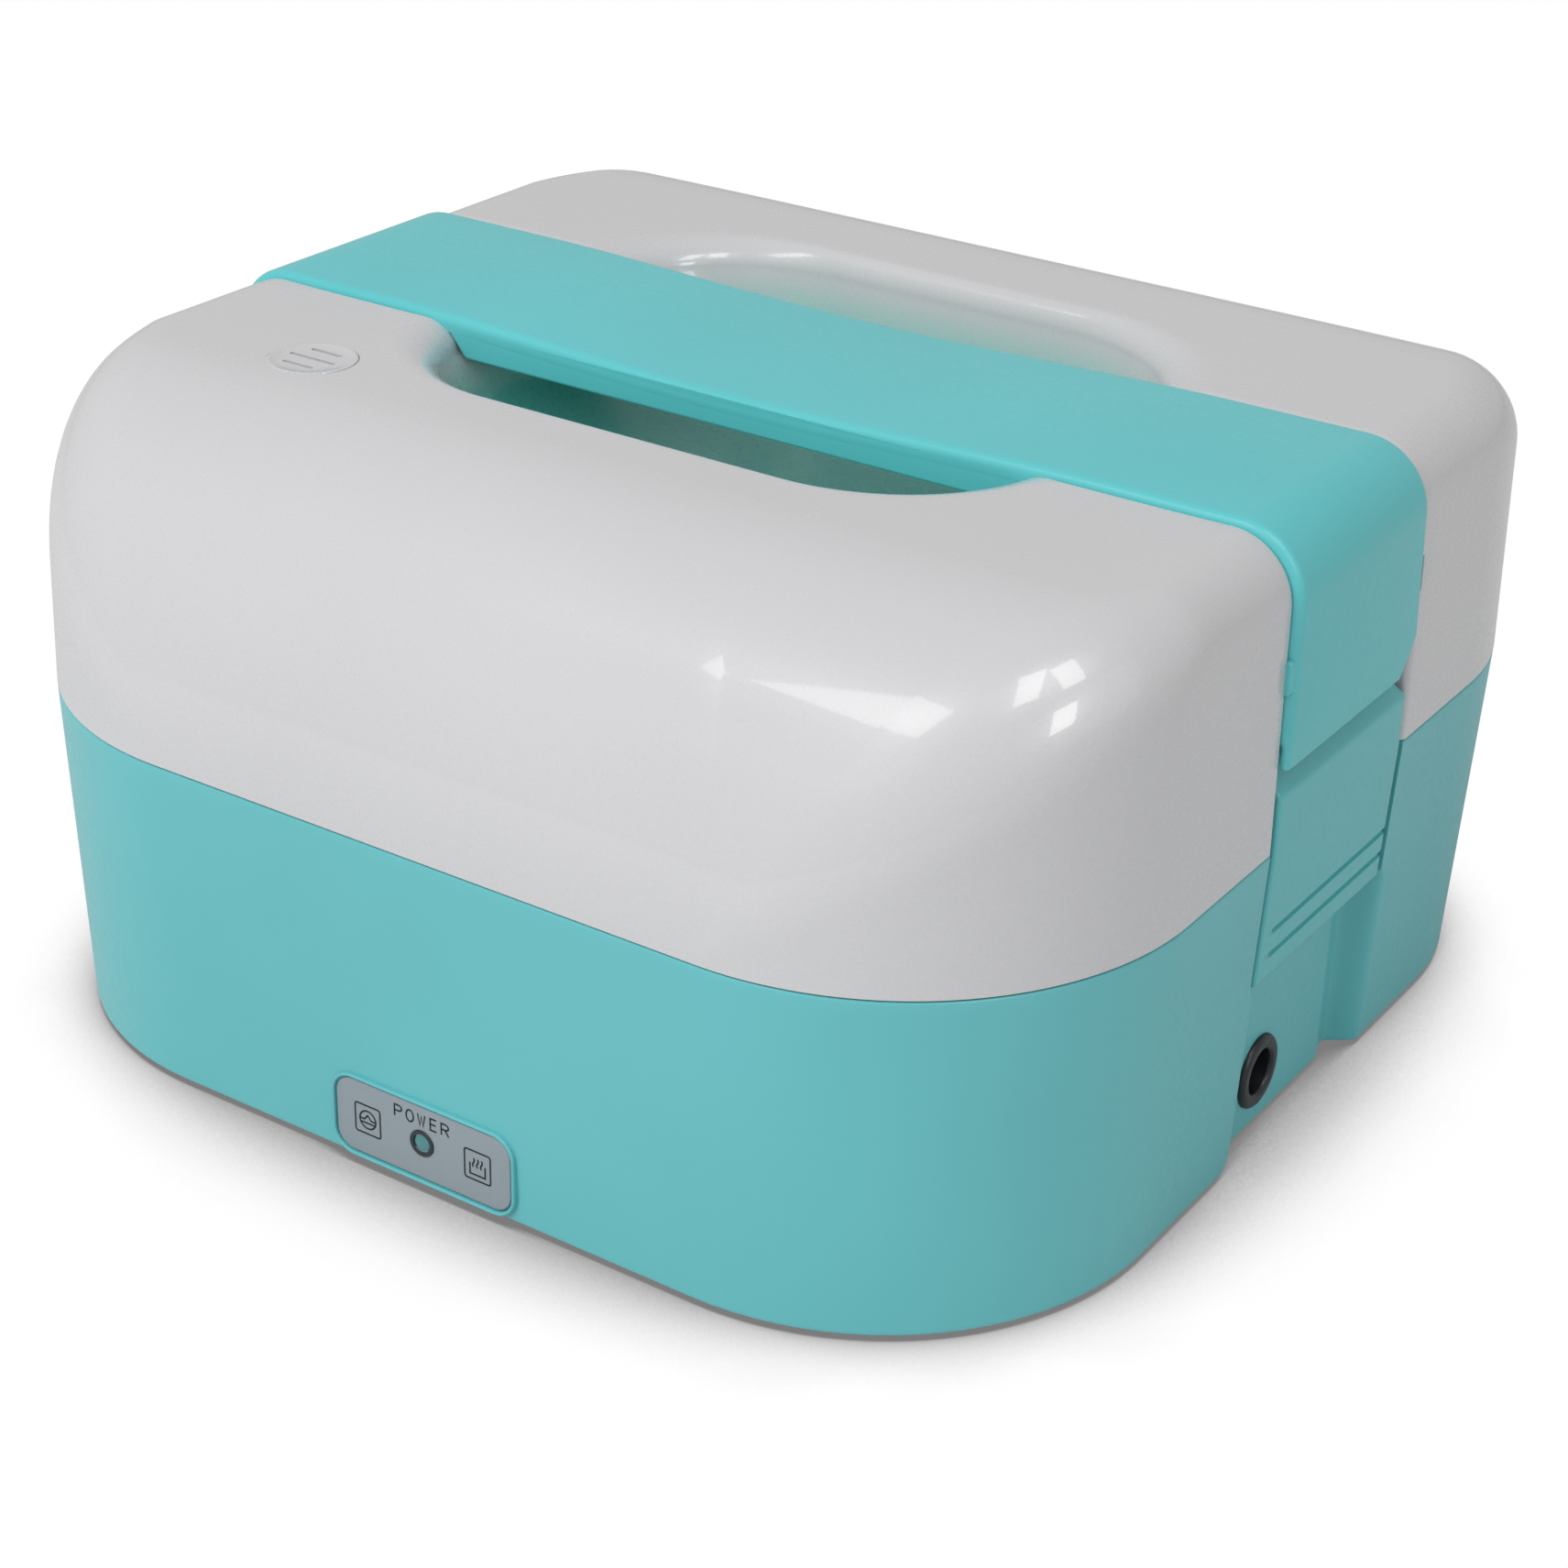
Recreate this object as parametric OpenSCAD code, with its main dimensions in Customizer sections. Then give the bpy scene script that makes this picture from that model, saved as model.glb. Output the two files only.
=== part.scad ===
// Electric lunch box: heated base, lift-off lid with a strap handle, two side latches, nested containers.
// Origin: centre of the footprint, on the plane the feet stand on. +Z is up, the indicator panel faces -Y.

/* [Body] */
// width of base and lid at the seam
body_w = 235; // [200:0.5:260]
// depth of base and lid at the seam
body_d = 234.2; // [200:0.1:260]
// plan corner radius at the seam
body_r = 58.3; // [40:0.1:70]
// width of the base at its bottom edge
bottom_w = 229.5; // [195:0.5:255]
// depth of the base at its bottom edge
bottom_d = 230.5; // [195:0.5:255]
// plan corner radius at the bottom edge
bottom_r = 56.5; // [40:0.1:70]
// height of the feet under the base
foot_h = 1.2; // [1:0.1:6]
// height of the seam between base and lid
seam_z = 68; // [50:1:90]
// open line between base and lid
seam_gap = 0.4; // [0.2:0.1:1]
// wall of the base
base_wall = 2.5; // [1.5:0.1:4]
// bevel along the bottom edge of the base
bottom_bevel = 0.6; // [0.5:0.1:3]

/* [Lid] */
// height of the flat white top
lid_top_z = 126; // [100:0.5:150]
// wall of the lid
lid_wall = 2.4; // [1.5:0.1:4]
// horizontal reach of the big front round
round_reach = 51; // [30:0.5:70]
// horizontal reach of the fuller back round
back_reach = 46; // [30:0.5:70]
// height over the seam at which the big front and back rounds begin
round_start = 0.1; // [0:0.1:20]
// rolled edge along the two sides
roll_side = 11.9; // [6:0.1:25]
// rolled edge at the front
roll_front = 30; // [12:0.5:45]
// rolled edge at the back
roll_back = 22; // [12:0.5:45]
// inward lean of the lid's walls up to its top
lid_lean = 1.2; // [0:0.1:5]

/* [Finger recess] */
// length of the recess along X at its lip
recess_w = 145; // [110:1:170]
// depth of the recess along Y at its lip
recess_d = 113; // [90:1:130]
// corner radius of the lip
recess_r = 38; // [15:1:50]
// lowest level of the bowl
recess_floor_z = 96; // [85:1:110]
// wall of the bowl
recess_wall = 2.2; // [1.5:0.1:4]

/* [Strap handle] */
// width of the strap
strap_w = 54.3; // [30:0.1:80]
// thickness of the strap
strap_t = 3.4; // [2:0.1:6]
// height of the strap above the white lid
strap_proud = 1.2; // [0:0.1:3]
// sag of the strap's top at mid-span
strap_dip = 1.8; // [0:0.1:4]
// half length of the sag
dip_reach = 78; // [40:1:95]
// narrowing of the strap's back edge from its lower ends up to its top
strap_trim = 2.25; // [0:0.05:5]
// rounded edges of the strap
strap_edge_r = 1.7; // [0.5:0.1:3]
// height of the strap's lower ends
strap_end_z = 84.5; // [75:0.5:100]
// cut back corner of the strap's lower ends
strap_corner_cut = 6; // [0:0.5:12]
// reach of the grip's side skirts below the lid's flat top
skirt_drop = 7.1; // [4:0.1:12]
// half length of the skirts at their lowest level
skirt_half = 59.5; // [40:0.5:62]
// wall of the skirts
skirt_wall = 2.2; // [1.5:0.1:4]
// gap between the strap and the sides of its channel
channel_gap = 0.3; // [0.1:0.05:1]

/* [Latches] */
// width of a latch
latch_w = 52; // [30:1:70]
// height of a latch's lower edge
latch_low_z = 39.7; // [30:0.1:50]
// height of the crease between face and top chamfer
latch_crease_z = 78; // [70:0.5:83]
// wall of a latch
latch_wall = 2.4; // [1.5:0.1:4]
// height of a latch's pivot
pivot_z = 92.5; // [88:0.5:97]
// distance of a latch's pivot behind the side of the body
pivot_in = 5.6; // [4:0.1:8]
// radius of the pivot pins
pin_r = 1.25; // [0.8:0.05:2]
// radial running clearance of the pins
pin_clear = 0.07; // [0.01:0.01:0.1]
// half width of the channels in the base
base_channel_half = 27.4; // [20:0.1:35]
// depth of the latch channels behind the seam's outline
channel_depth = 6.2; // [4:0.1:8]
// depth of the finger pockets behind the base's bottom edge
pocket_depth = 3.45; // [1:0.05:6]
// height of the lower finger groove in a latch
groove_z = 45; // [42:0.5:60]
// distance between the two finger grooves
groove_pitch = 5; // [3:0.5:10]

/* [Finger pockets] */
// front end of the pockets
pocket_front_y = -25.5; // [-30:0.5:-10]
// end of the flat pocket floor
pocket_ramp_y = 18.5; // [5:0.5:25]
// outer end of the pocket's ramp
pocket_back_y = 28.5; // [20:0.5:35]

/* [Indicator panel] */
// width of the grey plate
panel_w = 39.8; // [20:0.1:60]
// height of the grey plate
panel_h = 15.1; // [8:0.1:25]
// centre height of the plate
panel_z = 10.3; // [8:0.1:30]
// corner radius of the plate
panel_r = 3.8; // [1:0.1:7]
// height of the plate's face over the front of the base's bottom edge
panel_proud = 0.85; // [0:0.05:2]
// radius of the lamp's lens
lens_r = 1.9; // [1:0.1:4]
// radius of the dark ring round the lens
bezel_r = 2.7; // [2:0.1:6]

/* [Power inlet] */
// position of the inlet along Y
inlet_y = -9.8; // [-20:0.1:12]
// height of the inlet's axis
inlet_z = 12.9; // [10:0.1:30]
// radius of the inlet's flange
inlet_r = 7.4; // [5:0.1:12]
// radius of the inlet's opening
inlet_open_r = 4.5; // [3:0.1:8]

/* [Food containers] */
// width of the band between the body's narrowest outline and the well's inside
rim_band = 17.25; // [15:0.25:35]
// corner radius of the well's inside
well_r = 42; // [20:1:55]
// height of the well's floor
well_floor_z = 24; // [18:1:40]
// wall of the well
well_wall = 2.2; // [1.5:0.1:4]
// wall of the steel container
steel_wall = 0.9; // [0.5:0.1:2]
// wall of the food tray
tray_wall = 1.8; // [1:0.1:3]

/* [Vent cap] */
// centre of the cap along X
vent_x = -69.3; // [-90:0.1:-50]
// centre of the cap along Y
vent_y = -59.5; // [-80:0.1:-40]
// radius of the cap
vent_r = 8.6; // [5:0.1:14]

/* [Hidden] */
$fn = 96;
cut = 1;
far_out = 140;
touch = 0.05;
hull_fn = 72;

// outlines
half_w = body_w / 2;
half_d = body_d / 2;
base_z = foot_h;
base_top_z = seam_z - seam_gap / 2;
lid_low_z = seam_z + seam_gap / 2;
floor_top_z = base_z + base_wall;
face_slope = (half_w - bottom_w / 2) / (seam_z - base_z);
function face_x(z) = bottom_w / 2 + face_slope * (z - base_z);
round_drop = lid_top_z - seam_z - round_start;
narrow_half = min(half_w, half_d, bottom_w / 2, bottom_d / 2);
well_half = narrow_half - rim_band;
base_channel_x = min(half_w - channel_depth, bottom_w / 2 - pocket_depth);
pivot_x = half_w - pivot_in;

// base inside
ledge_z = seam_z - 6;
ledge_half = narrow_half - 10.75;
ledge_r = 48;
flange_half = narrow_half - 6.45;
flange_r = 50;
flange_t = 2;
flange_gap = 0.3;
pad_half_y = base_channel_half + 3.6;
pad_x = base_channel_x - base_wall;
boss_r = 4.5;
boss_at = narrow_half - 40.75;
boss_split_z = 13;
screw_r = 1.5;
screw_hole_r = 1.7;
screw_head_r = 3;
screw_head_h = 1.8;
head_pocket_r = 3.6;
head_pocket_z = base_z + 3;
catch_z = seam_z - 5.7;
catch_h = 3;
catch_out = 2.3;
catch_half = base_channel_half - 9.4;
pocket_top_z = latch_low_z - 0.4;

// feet
foot_r = 6;
foot_plug_r = 4;
foot_plug_h = 1.2;
foot_x = bottom_w / 2 - 10.75;
foot_y = bottom_d / 2 - 65.25;

// indicator panel
frame_grow = 1;
panel_y = -(bottom_d / 2 + panel_proud);
frame_y = panel_y - 0.4;
frame_back_y = panel_y + 3.6;
panel_seat_y = panel_y + 1.2;
panel_seat_gap = 0.2;
lamp_hole_r = bezel_r + 0.1;
bezel_front_y = panel_y - 0.35;
lens_front_y = panel_y - 0.2;
lens_back_y = frame_back_y + 2;
lamp_y = lens_back_y + 0.2;
lamp_r = 1.5;
board_y = lamp_y + 3.9;
board_t = 1.6;
board_w = 22;
board_h = 10;
board_post_r = 1.8;
board_post_x = 8;
lens_flange_r = 3.6;

// inlet
inlet_flange_t = 1.2;
inlet_body_r = 6;
inlet_back_x = base_channel_x - 10.8;
inlet_floor_x = base_channel_x - 7.8;
inlet_pin_r = 0.8;
inlet_pin_gap = 1.9;
inlet_pin_tip_x = base_channel_x - 2;
inlet_tab_x = base_channel_x - 14.8;
nut_r = 7.9;
nut_t = 3.2;
nut_sides = 6;

// heater
plate_r = 72;
plate_t = 2;
plate_z = well_floor_z;
well_hole_r = plate_r - 12;
heater_w = 62;
heater_d = 34;
heater_t = 5;
clamp_w = 96;
clamp_d = 16;
clamp_t = 1;
clamp_screw_x = 43;
clamp_screw_r = 1.4;
stat_r = 8;
stat_h = 7;
stat_y = -38;
fuse_r = 2.2;
fuse_len = 12;
fuse_y = 36;
lead_r = 0.9;
stat_tab = 2.5;
lead_turn_x = 50;
lead_far_x = 44;
lead_side_x = 55;
lead_side_y = -heater_d / 2 + lead_r + touch;
lead_step = 3.6;
heater_tail_y = 10.8;
lead_bend_y = board_y + 26.4;

// containers
pan_half = well_half - 2;
pan_r = well_r - 2;
pan_low_z = plate_z + plate_t + touch;
pan_rim_z = seam_z - 3.4;
pan_rim_half = well_half - 0.6;
tray_half = pan_half - steel_wall - 1.6;
tray_r = pan_r - 2.5;
tray_low_z = seam_z - 22;
tray_rim_z = pan_rim_z + steel_wall + touch;
tray_rim_t = 1.8;
tray_rim_half = pan_rim_half - 0.2;
rib_x = 22;
cover_z = tray_rim_z + tray_rim_t + 0.9;
cover_t = 1.6;
cover_half = well_half - 4;
cover_r = well_r - 4;
cover_dome_half = cover_half - 9.5;
cover_dome_h = 4;
plug_pos = [0, 62];
plug_r = 5;
seal_w = 3;
seal_room = 0.25;
cover_dome_r = cover_r - 8;
compartment_r = 12;
rib_top_z = seam_z - 7;
skirt_low_z = seam_z - 5.5;
seal_low_z = seam_z - 4.5;
skirt_half_w = tray_half - tray_wall - cover_t;
skirt_r = cover_r - seal_w;
plug_stem_r = 2.2;

// lid inside
gasket_half = narrow_half - 9.25;
gasket_w = 4;
gasket_r = 51;
panel_flange_z = base_top_z + 3.2;
panel_t = 2;
panel_half = gasket_half + 1;
dome_half = gasket_half - 12.5;
dome_r = 45;
dome_z = seam_z + 16;
panel_boss = narrow_half - 29.75;
panel_boss_r = 4.2;
panel_screw_r = 1.4;
panel_screw_top = dome_z;
gripper_x = 45;
gripper_y = 12;
gripper_r = 1.2;
gripper_head_r = 2.4;
gripper_head_h = 1.3;
strap_boss_r = 3.2;
strap_boss_x = half_w - 25.5;
strap_boss_y = strap_w / 2 - 13.15;
cap_top_z = lid_top_z + 0.3;
cap_seat_z = lid_top_z - 1.6;
cap_slot_w = 1.2;
cap_slot_step = 4;
cap_slot_reach = 5.4;
tube_r = 5;
tube_wall = 1.2;

// strap path
corner_c = [half_w - roll_side - 0.6, lid_top_z - roll_side];
strap_top_z = lid_top_z + strap_proud;
skirt_z = lid_top_z - skirt_drop;
strap_round = strap_top_z - corner_c[1];
strap_side_lean = 0.4;
arc_steps = 8;
top_steps = 26;
function top_z(x) = strap_top_z - (abs(x) < dip_reach ? strap_dip * pow(1 - pow(x / dip_reach, 2), 2) : 0);
side_pts = [[corner_c[0] + strap_round + strap_side_lean, strap_end_z]];
arc_pts = [for (i = [0:arc_steps]) let (a = 90 * i / arc_steps) corner_c + strap_round * [cos(a), sin(a)]];
top_pts = [for (i = [1:top_steps - 1]) let (x = corner_c[0] * (1 - 2 * i / top_steps)) [x, top_z(x)]];
function mirror_back(pts) = [for (i = [len(pts) - 1:-1:0]) [-pts[i][0], pts[i][1]]];
path = concat(side_pts, arc_pts, top_pts, mirror_back(arc_pts), mirror_back(side_pts));
function unit(v) = v / norm(v);
function path_dir(i) = unit(path[min(i + 1, len(path) - 1)] - path[max(i - 1, 0)]);
function back_half(z) =
    strap_w / 2 - strap_trim * min(max((z - strap_end_z) / (corner_c[1] - strap_end_z), 0), 1);
function path_in(i, d) = path[i] + d * [-path_dir(i)[1], path_dir(i)[0]];

strap_seat_z = strap_top_z - strap_t;
skirt_slope = 3.8;
skirt_y = strap_w / 2 - channel_gap - skirt_wall / 2;
skirt_top_z = strap_seat_z + 0.6;
plate_top_z = lid_top_z - 5;
lid_steps = 9;
hollow_steps = 6;
almost = 0.999;
outer_insets = [for (i = [1:lid_steps]) inset_at(0, 90 * i / lid_steps)];
inner_insets = [for (i = [1:hollow_steps]) inset_at(lid_wall, 90 * i / hollow_steps)];
function inset_at(g, a) = (half_d - round_reach + (round_reach - g) * cos(a)) / (half_d - g);

// latch channel in the lid
lid_channel_half = strap_w / 2 + channel_gap;
lid_pocket_x = half_w - 8.6;
lid_pocket_top = pivot_z + 5.5;
lid_cheek_half = lid_channel_half + 5.05;
lid_cheek_x = lid_pocket_x - lid_wall;
lid_cheek_top = lid_pocket_top + lid_wall;
notch_low_z = 98;
notch_h = 7;
notch_w = 1.4;
notch_x = half_w - 4.5;
ear_gap = 0.3;
pin_half = lid_channel_half + 2.4;
knuckle_r = 2.4;

// latch profile
arm_out_x = pivot_x + 0.3;
arm_in_x = pivot_x - 1.8;
arm_low_z = seam_z + 5;
chamfer_top_z = strap_end_z - 0.3;
hook_z = catch_z - 0.4;
hook_h = 3.4;
hook_x = base_channel_x + 0.7;
groove_w = 1.1;
groove_depth = 0.8;
groove_y = [-21.5, 26.5];
latch_corner_cut = 3.5;

// shared helpers

// rounded rectangle, exact arcs
module plate_2d(w, d, r) {
    square([w - 2 * r, d], center = true);
    square([w, d - 2 * r], center = true);
    for (sx = [-1, 1], sy = [-1, 1])
        translate([sx * (w / 2 - r), sy * (d / 2 - r)])
            circle(r);
}

module slab(w, d, r, z0, z1) {
    translate([0, 0, z0])
        linear_extrude(z1 - z0)
            plate_2d(w, d, r);
}

module square_slab(half, r, z0, z1) {
    slab(2 * half, 2 * half, r, z0, z1);
}

// hollow square ring
module square_ring(half, r, wall, z0, z1) {
    difference() {
        square_slab(half, r, z0, z1);
        square_slab(half - wall, r - wall, z0 - cut, z1 + cut);
    }
}

module rod(r, z0, z1) {
    translate([0, 0, z0])
        cylinder(r = r, h = z1 - z0);
}

// rod along X between x0 and x1
module rod_x(r, x0, x1) {
    translate([x0, 0, 0])
        rotate([0, 90, 0])
            cylinder(r = r, h = x1 - x0);
}

// rod along Y between y0 and y1
module rod_y(r, y0, y1) {
    translate([0, y1, 0])
        rotate([90, 0, 0])
            cylinder(r = r, h = y1 - y0);
}

module at_four(x, y) {
    for (sx = [-1, 1], sy = [-1, 1])
        translate([sx * x, sy * y, 0])
            children();
}

module both_sides() {
    children();
    mirror([1, 0, 0])
        children();
}

// profile in X and Z, extruded along Y between y0 and y1
module side_profile(y0, y1) {
    translate([0, y1, 0])
        rotate([90, 0, 0])
            linear_extrude(y1 - y0)
                children();
}

// closed loft through rows of equal length, capped at both ends with fans
module loft(rows) {
    n = len(rows[0]);
    m = len(rows);
    low_mid = [for (k = [0:2]) sum_of(rows[0], k) / n];
    top_mid = [for (k = [0:2]) sum_of(rows[m - 1], k) / n];
    pts = concat([for (row = rows) each row], [low_mid, top_mid]);
    walls = [for (j = [0:m - 2], i = [0:n - 1]) let (a = j * n + i, b = j * n + (i + 1) % n)
        each [[a, a + n, b], [b, a + n, b + n]]];
    low_fan = [for (i = [0:n - 1]) [m * n, i, (i + 1) % n]];
    top_fan = [for (i = [0:n - 1]) [m * n + 1, (m - 1) * n + (i + 1) % n, (m - 1) * n + i]];
    polyhedron(points = pts, faces = concat(walls, low_fan, top_fan), convexity = 6);
}

function sum_of(row, k, i = 0) = i < len(row) ? row[i][k] + sum_of(row, k, i + 1) : 0;

// outline of a rounded rectangle, counter-clockwise: each entry is [x, y, normal x, normal y]
function outline(hw, hd, r, steps) = [for (q = [0:3], i = [0:steps])
    let (a = 90 * q + 90 * i / steps, sx = (q == 0 || q == 3) ? 1 : -1, sy = q < 2 ? 1 : -1)
        [sx * (hw - r) + r * cos(a), sy * (hd - r) + r * sin(a), cos(a), sin(a)]];

function ring_at(hw, hd, r, steps, z) = [for (p = outline(hw, hd, r, steps)) [p[0], p[1], z]];

// lid surface, grown inward by g: walls, a rolled edge, then the top with its big front and back rounds
function reach_at(y) = y > 0 ? back_reach : round_reach;
function over(y, g, roll = 0) = max(abs(y) - (half_d - reach_at(y)), 0) / (reach_at(y) - g - roll);
function top_at(y, g) = lid_top_z - round_drop + (round_drop - g) * sqrt(max(1 - pow(over(y, g), 2), 0));
function roll_at(ny, g) = roll_side + ((ny > 0 ? roll_back : roll_front) - roll_side) * abs(ny) - g;

// height of the rolled edge's centre, and the normal at the arc's end
function arc_z(y, g, roll) = let (o = over(y, g, roll))
    lid_top_z - round_drop + (round_drop - g - roll) * sqrt(max(1 - o * o, 0));
function end_normal(y, g, roll) = let (o = min(over(y, g, roll), almost), k = sqrt(1 - o * o))
    unit([0, sign(y) * o / (reach_at(y) - g - roll), k / (round_drop - g - roll)]);
function between(p, q, t) = let (w = acos(min(max(p * q, -1), 1)))
    w < 0.1 ? p : (sin((1 - t) * w) * p + sin(t * w) * q) / sin(w);
function lean(v) = let (k = 1 - lid_lean / half_w * (v[2] - seam_z) / (lid_top_z - seam_z))
    [v[0] * k, v[1] * k, v[2]];
function roll_point(p, g, t) = let (roll = roll_at(p[3], g), y = p[1] - roll * p[3],
        c = [p[0] - roll * p[2], y, arc_z(y, g, roll)])
    lean(c + roll * between([p[2], p[3], 0], end_normal(y, g, roll), t));
function top_point(v, g, s) = [v[0] * s, v[1] * s, top_at(v[1] * s, g)];
function lid_rows(g, z0, steps, rolls, insets) =
    let (line = outline(half_w - g, half_d - g, body_r - g, steps),
        edge = [for (p = line) roll_point(p, g, 1)])
    concat([[for (p = line) [p[0], p[1], z0]]],
        [for (j = [0:rolls]) [for (p = line) roll_point(p, g, j / rolls)]],
        [for (s = insets) [for (v = edge) top_point(v, g, s)]]);

// bowl of the finger recess, rows of [half x, half y, corner radius, height] from its floor up to its lip:
// a quarter arc from the floor up to the steep wall, then a rounded lip
bowl_lip = [9.6, 3.6, 3, 5.8];
bowl_wall = [13, 6, 4.5, 12];
bowl_floor = [56, 44, 26, lid_top_z - recess_floor_z];
bowl_arc = [recess_w / 2, recess_d / 2, recess_r, lid_top_z];
function lip_row(a) = bowl_arc - [for (k = [0:3]) bowl_lip[k] * (k == 3 ? 1 - cos(a) : sin(a))];
function bowl_row(a) = let (span = bowl_floor - bowl_wall)
    bowl_arc - bowl_wall - [for (k = [0:3]) span[k] * (k == 3 ? sin(a) : 1 - cos(a))];
bowl = concat([for (k = [4:-1:0]) bowl_row(90 * k / 4)], [for (k = [3:-1:0]) lip_row(90 * k / 3)],
    [bowl_arc + [cut, cut, 0, cut] / 2]);
bowl_steps = 9;
skin_rows = [0, 2, 4, 6, 9];

module bowl_void() {
    loft([for (b = bowl) ring_at(b[0], b[1], b[2], bowl_steps, b[3])]);
}

module bowl_skin() {
    loft([for (k = skin_rows) let (b = bowl[k], g = recess_wall)
        ring_at(b[0] + g + cut, b[1] + g + cut, b[2] + g, bowl_steps - 4, b[3] - g)]);
}

// base

module base_outer() {
    hull() {
        slab(bottom_w - 2 * bottom_bevel, bottom_d - 2 * bottom_bevel, bottom_r - bottom_bevel,
            base_z, base_z + touch, $fn = hull_fn);
        slab(bottom_w, bottom_d, bottom_r,
            base_z + bottom_bevel, base_z + bottom_bevel + touch, $fn = hull_fn);
        slab(body_w, body_d, body_r, base_top_z - touch, base_top_z, $fn = hull_fn);
    }
}

module panel_outline(grow) {
    translate([0, panel_z])
        plate_2d(panel_w + 2 * grow, panel_h + 2 * grow, panel_r + grow);
}

module pocket_2d() {
    polygon([[base_channel_x, pocket_front_y], [far_out, pocket_front_y], [far_out, pocket_back_y],
        [face_x(base_z), pocket_back_y], [base_channel_x, pocket_ramp_y]]);
}

module side_cuts() {
    translate([base_channel_x, -base_channel_half, pocket_top_z])
        cube([far_out, 2 * base_channel_half, body_w]);
    translate([0, 0, -cut])
        linear_extrude(pocket_top_z + 2 * cut)
            pocket_2d();
}

module catch_rib() {
    side_profile(-catch_half, catch_half)
        polygon([[base_channel_x - cut, catch_z], [base_channel_x + catch_out, catch_z],
            [base_channel_x + catch_out, catch_z + catch_h / 2], [base_channel_x, catch_z + catch_h],
            [base_channel_x - cut, catch_z + catch_h]]);
}

module base_cavity() {
    difference() {
        slab(bottom_w - 2 * base_wall, bottom_d - 2 * base_wall, bottom_r - base_wall, floor_top_z, ledge_z);
        both_sides()
            translate([pad_x, -pad_half_y, 0])
                cube([far_out, 2 * pad_half_y, body_w]);
        at_four(boss_at, boss_at)
            rod(boss_r, 0, boss_split_z);
    }
}

module base_shell() {
    color([0.42, 0.72, 0.74]) {
        difference() {
            union() {
                base_outer();
                side_profile(frame_y, frame_back_y)
                    panel_outline(frame_grow);
            }
            base_cavity();
            square_slab(ledge_half, ledge_r, ledge_z - cut, seam_z + cut);
            square_slab(flange_half + flange_gap, flange_r + flange_gap, base_top_z - flange_t, seam_z + cut);
            both_sides()
                side_cuts();
            side_profile(frame_y - cut, panel_seat_y)
                panel_outline(panel_seat_gap);
            translate([0, 0, panel_z])
                rod_y(lamp_hole_r, frame_y - cut, frame_back_y + 4 * cut);
            translate([0, inlet_y, inlet_z])
                rod_x(inlet_body_r, pad_x - cut, base_channel_x + cut);
            at_four(boss_at, boss_at) {
                rod(screw_hole_r, base_z, boss_split_z + cut);
                rod(head_pocket_r, base_z - cut, head_pocket_z);
            }
            at_four(foot_x, foot_y)
                rod(foot_plug_r, base_z - cut, base_z + foot_plug_h);
        }
        both_sides()
            catch_rib();
        for (sx = [-1, 1])
            translate([sx * board_post_x, 0, panel_z])
                rod_y(board_post_r, -(bottom_d - base_wall) / 2, board_y);
    }
}

module inner_well() {
    color([0.93, 0.93, 0.94])
        difference() {
            union() {
                square_slab(well_half + well_wall, well_r + well_wall, well_floor_z - well_wall, base_top_z);
                square_slab(flange_half, flange_r, base_top_z - flange_t, base_top_z);
                at_four(boss_at, boss_at)
                    rod(boss_r, boss_split_z, well_floor_z - well_wall + cut);
            }
            square_slab(well_half, well_r, well_floor_z, seam_z + cut);
            rod(well_hole_r, 0, seam_z);
            at_four(boss_at, boss_at)
                rod(screw_r, 0, well_floor_z - well_wall / 2);
        }
}

module heating_plate() {
    color([0.75, 0.76, 0.78])
        difference() {
            rod(plate_r, plate_z, plate_z + plate_t);
            for (sx = [-1, 1])
                translate([sx * clamp_screw_x, 0, 0])
                    rod(clamp_screw_r, 0, plate_z + plate_t / 2);
        }
}

module ptc_heater() {
    color([0.62, 0.36, 0.28])
        translate([-heater_w / 2, -heater_d / 2, plate_z - heater_t])
            cube([heater_w, heater_d, heater_t]);
}

module heater_clamp() {
    side = heater_w / 2;
    low = plate_z - heater_t;
    half = [[side, plate_z], [clamp_w / 2, plate_z], [clamp_w / 2, plate_z - clamp_t],
        [side + clamp_t, plate_z - clamp_t], [side + clamp_t, low - clamp_t]];
    color([0.72, 0.73, 0.75])
        difference() {
            side_profile(-clamp_d / 2, clamp_d / 2)
                polygon(concat(half, mirror_back(half), [[-side, low], [side, low]]));
            for (sx = [-1, 1])
                translate([sx * clamp_screw_x, 0, 0])
                    rod(screw_hole_r, 0, plate_z + cut);
        }
}

module clamp_screws() {
    color([0.6, 0.61, 0.63])
        for (sx = [-1, 1])
            translate([sx * clamp_screw_x, 0, 0]) {
                rod(clamp_screw_r, plate_z - clamp_t, plate_z + plate_t / 2);
                rod(gripper_head_r, plate_z - clamp_t - screw_head_h, plate_z - clamp_t);
            }
}

module thermostat() {
    color([0.82, 0.8, 0.74])
        translate([0, stat_y, 0]) {
            rod(stat_r, plate_z - stat_h, plate_z);
            for (sx = [-1, 1])
                translate([sx * stat_r / 2, 0, 0])
                    rod(lead_r, plate_z - stat_h - stat_tab, plate_z - stat_h + touch);
        }
}

module thermal_fuse() {
    color([0.78, 0.72, 0.5])
        translate([0, fuse_y, plate_z - fuse_r])
            rod_x(fuse_r, -fuse_len / 2, fuse_len / 2);
}

// lead of straight runs along the axes, from point to point
module lead(pts) {
    for (i = [1:len(pts) - 1]) {
        p = pts[i - 1];
        v = pts[i] - p;
        translate(p - lead_r * unit(v))
            rotate([0, 90 * (1 - v[2] / norm(v)), 90 * v[1] / norm(v) + (v[0] < 0 ? 180 : 0)])
                cylinder(r = lead_r, h = norm(v) + 2 * lead_r);
    }
}

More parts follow.
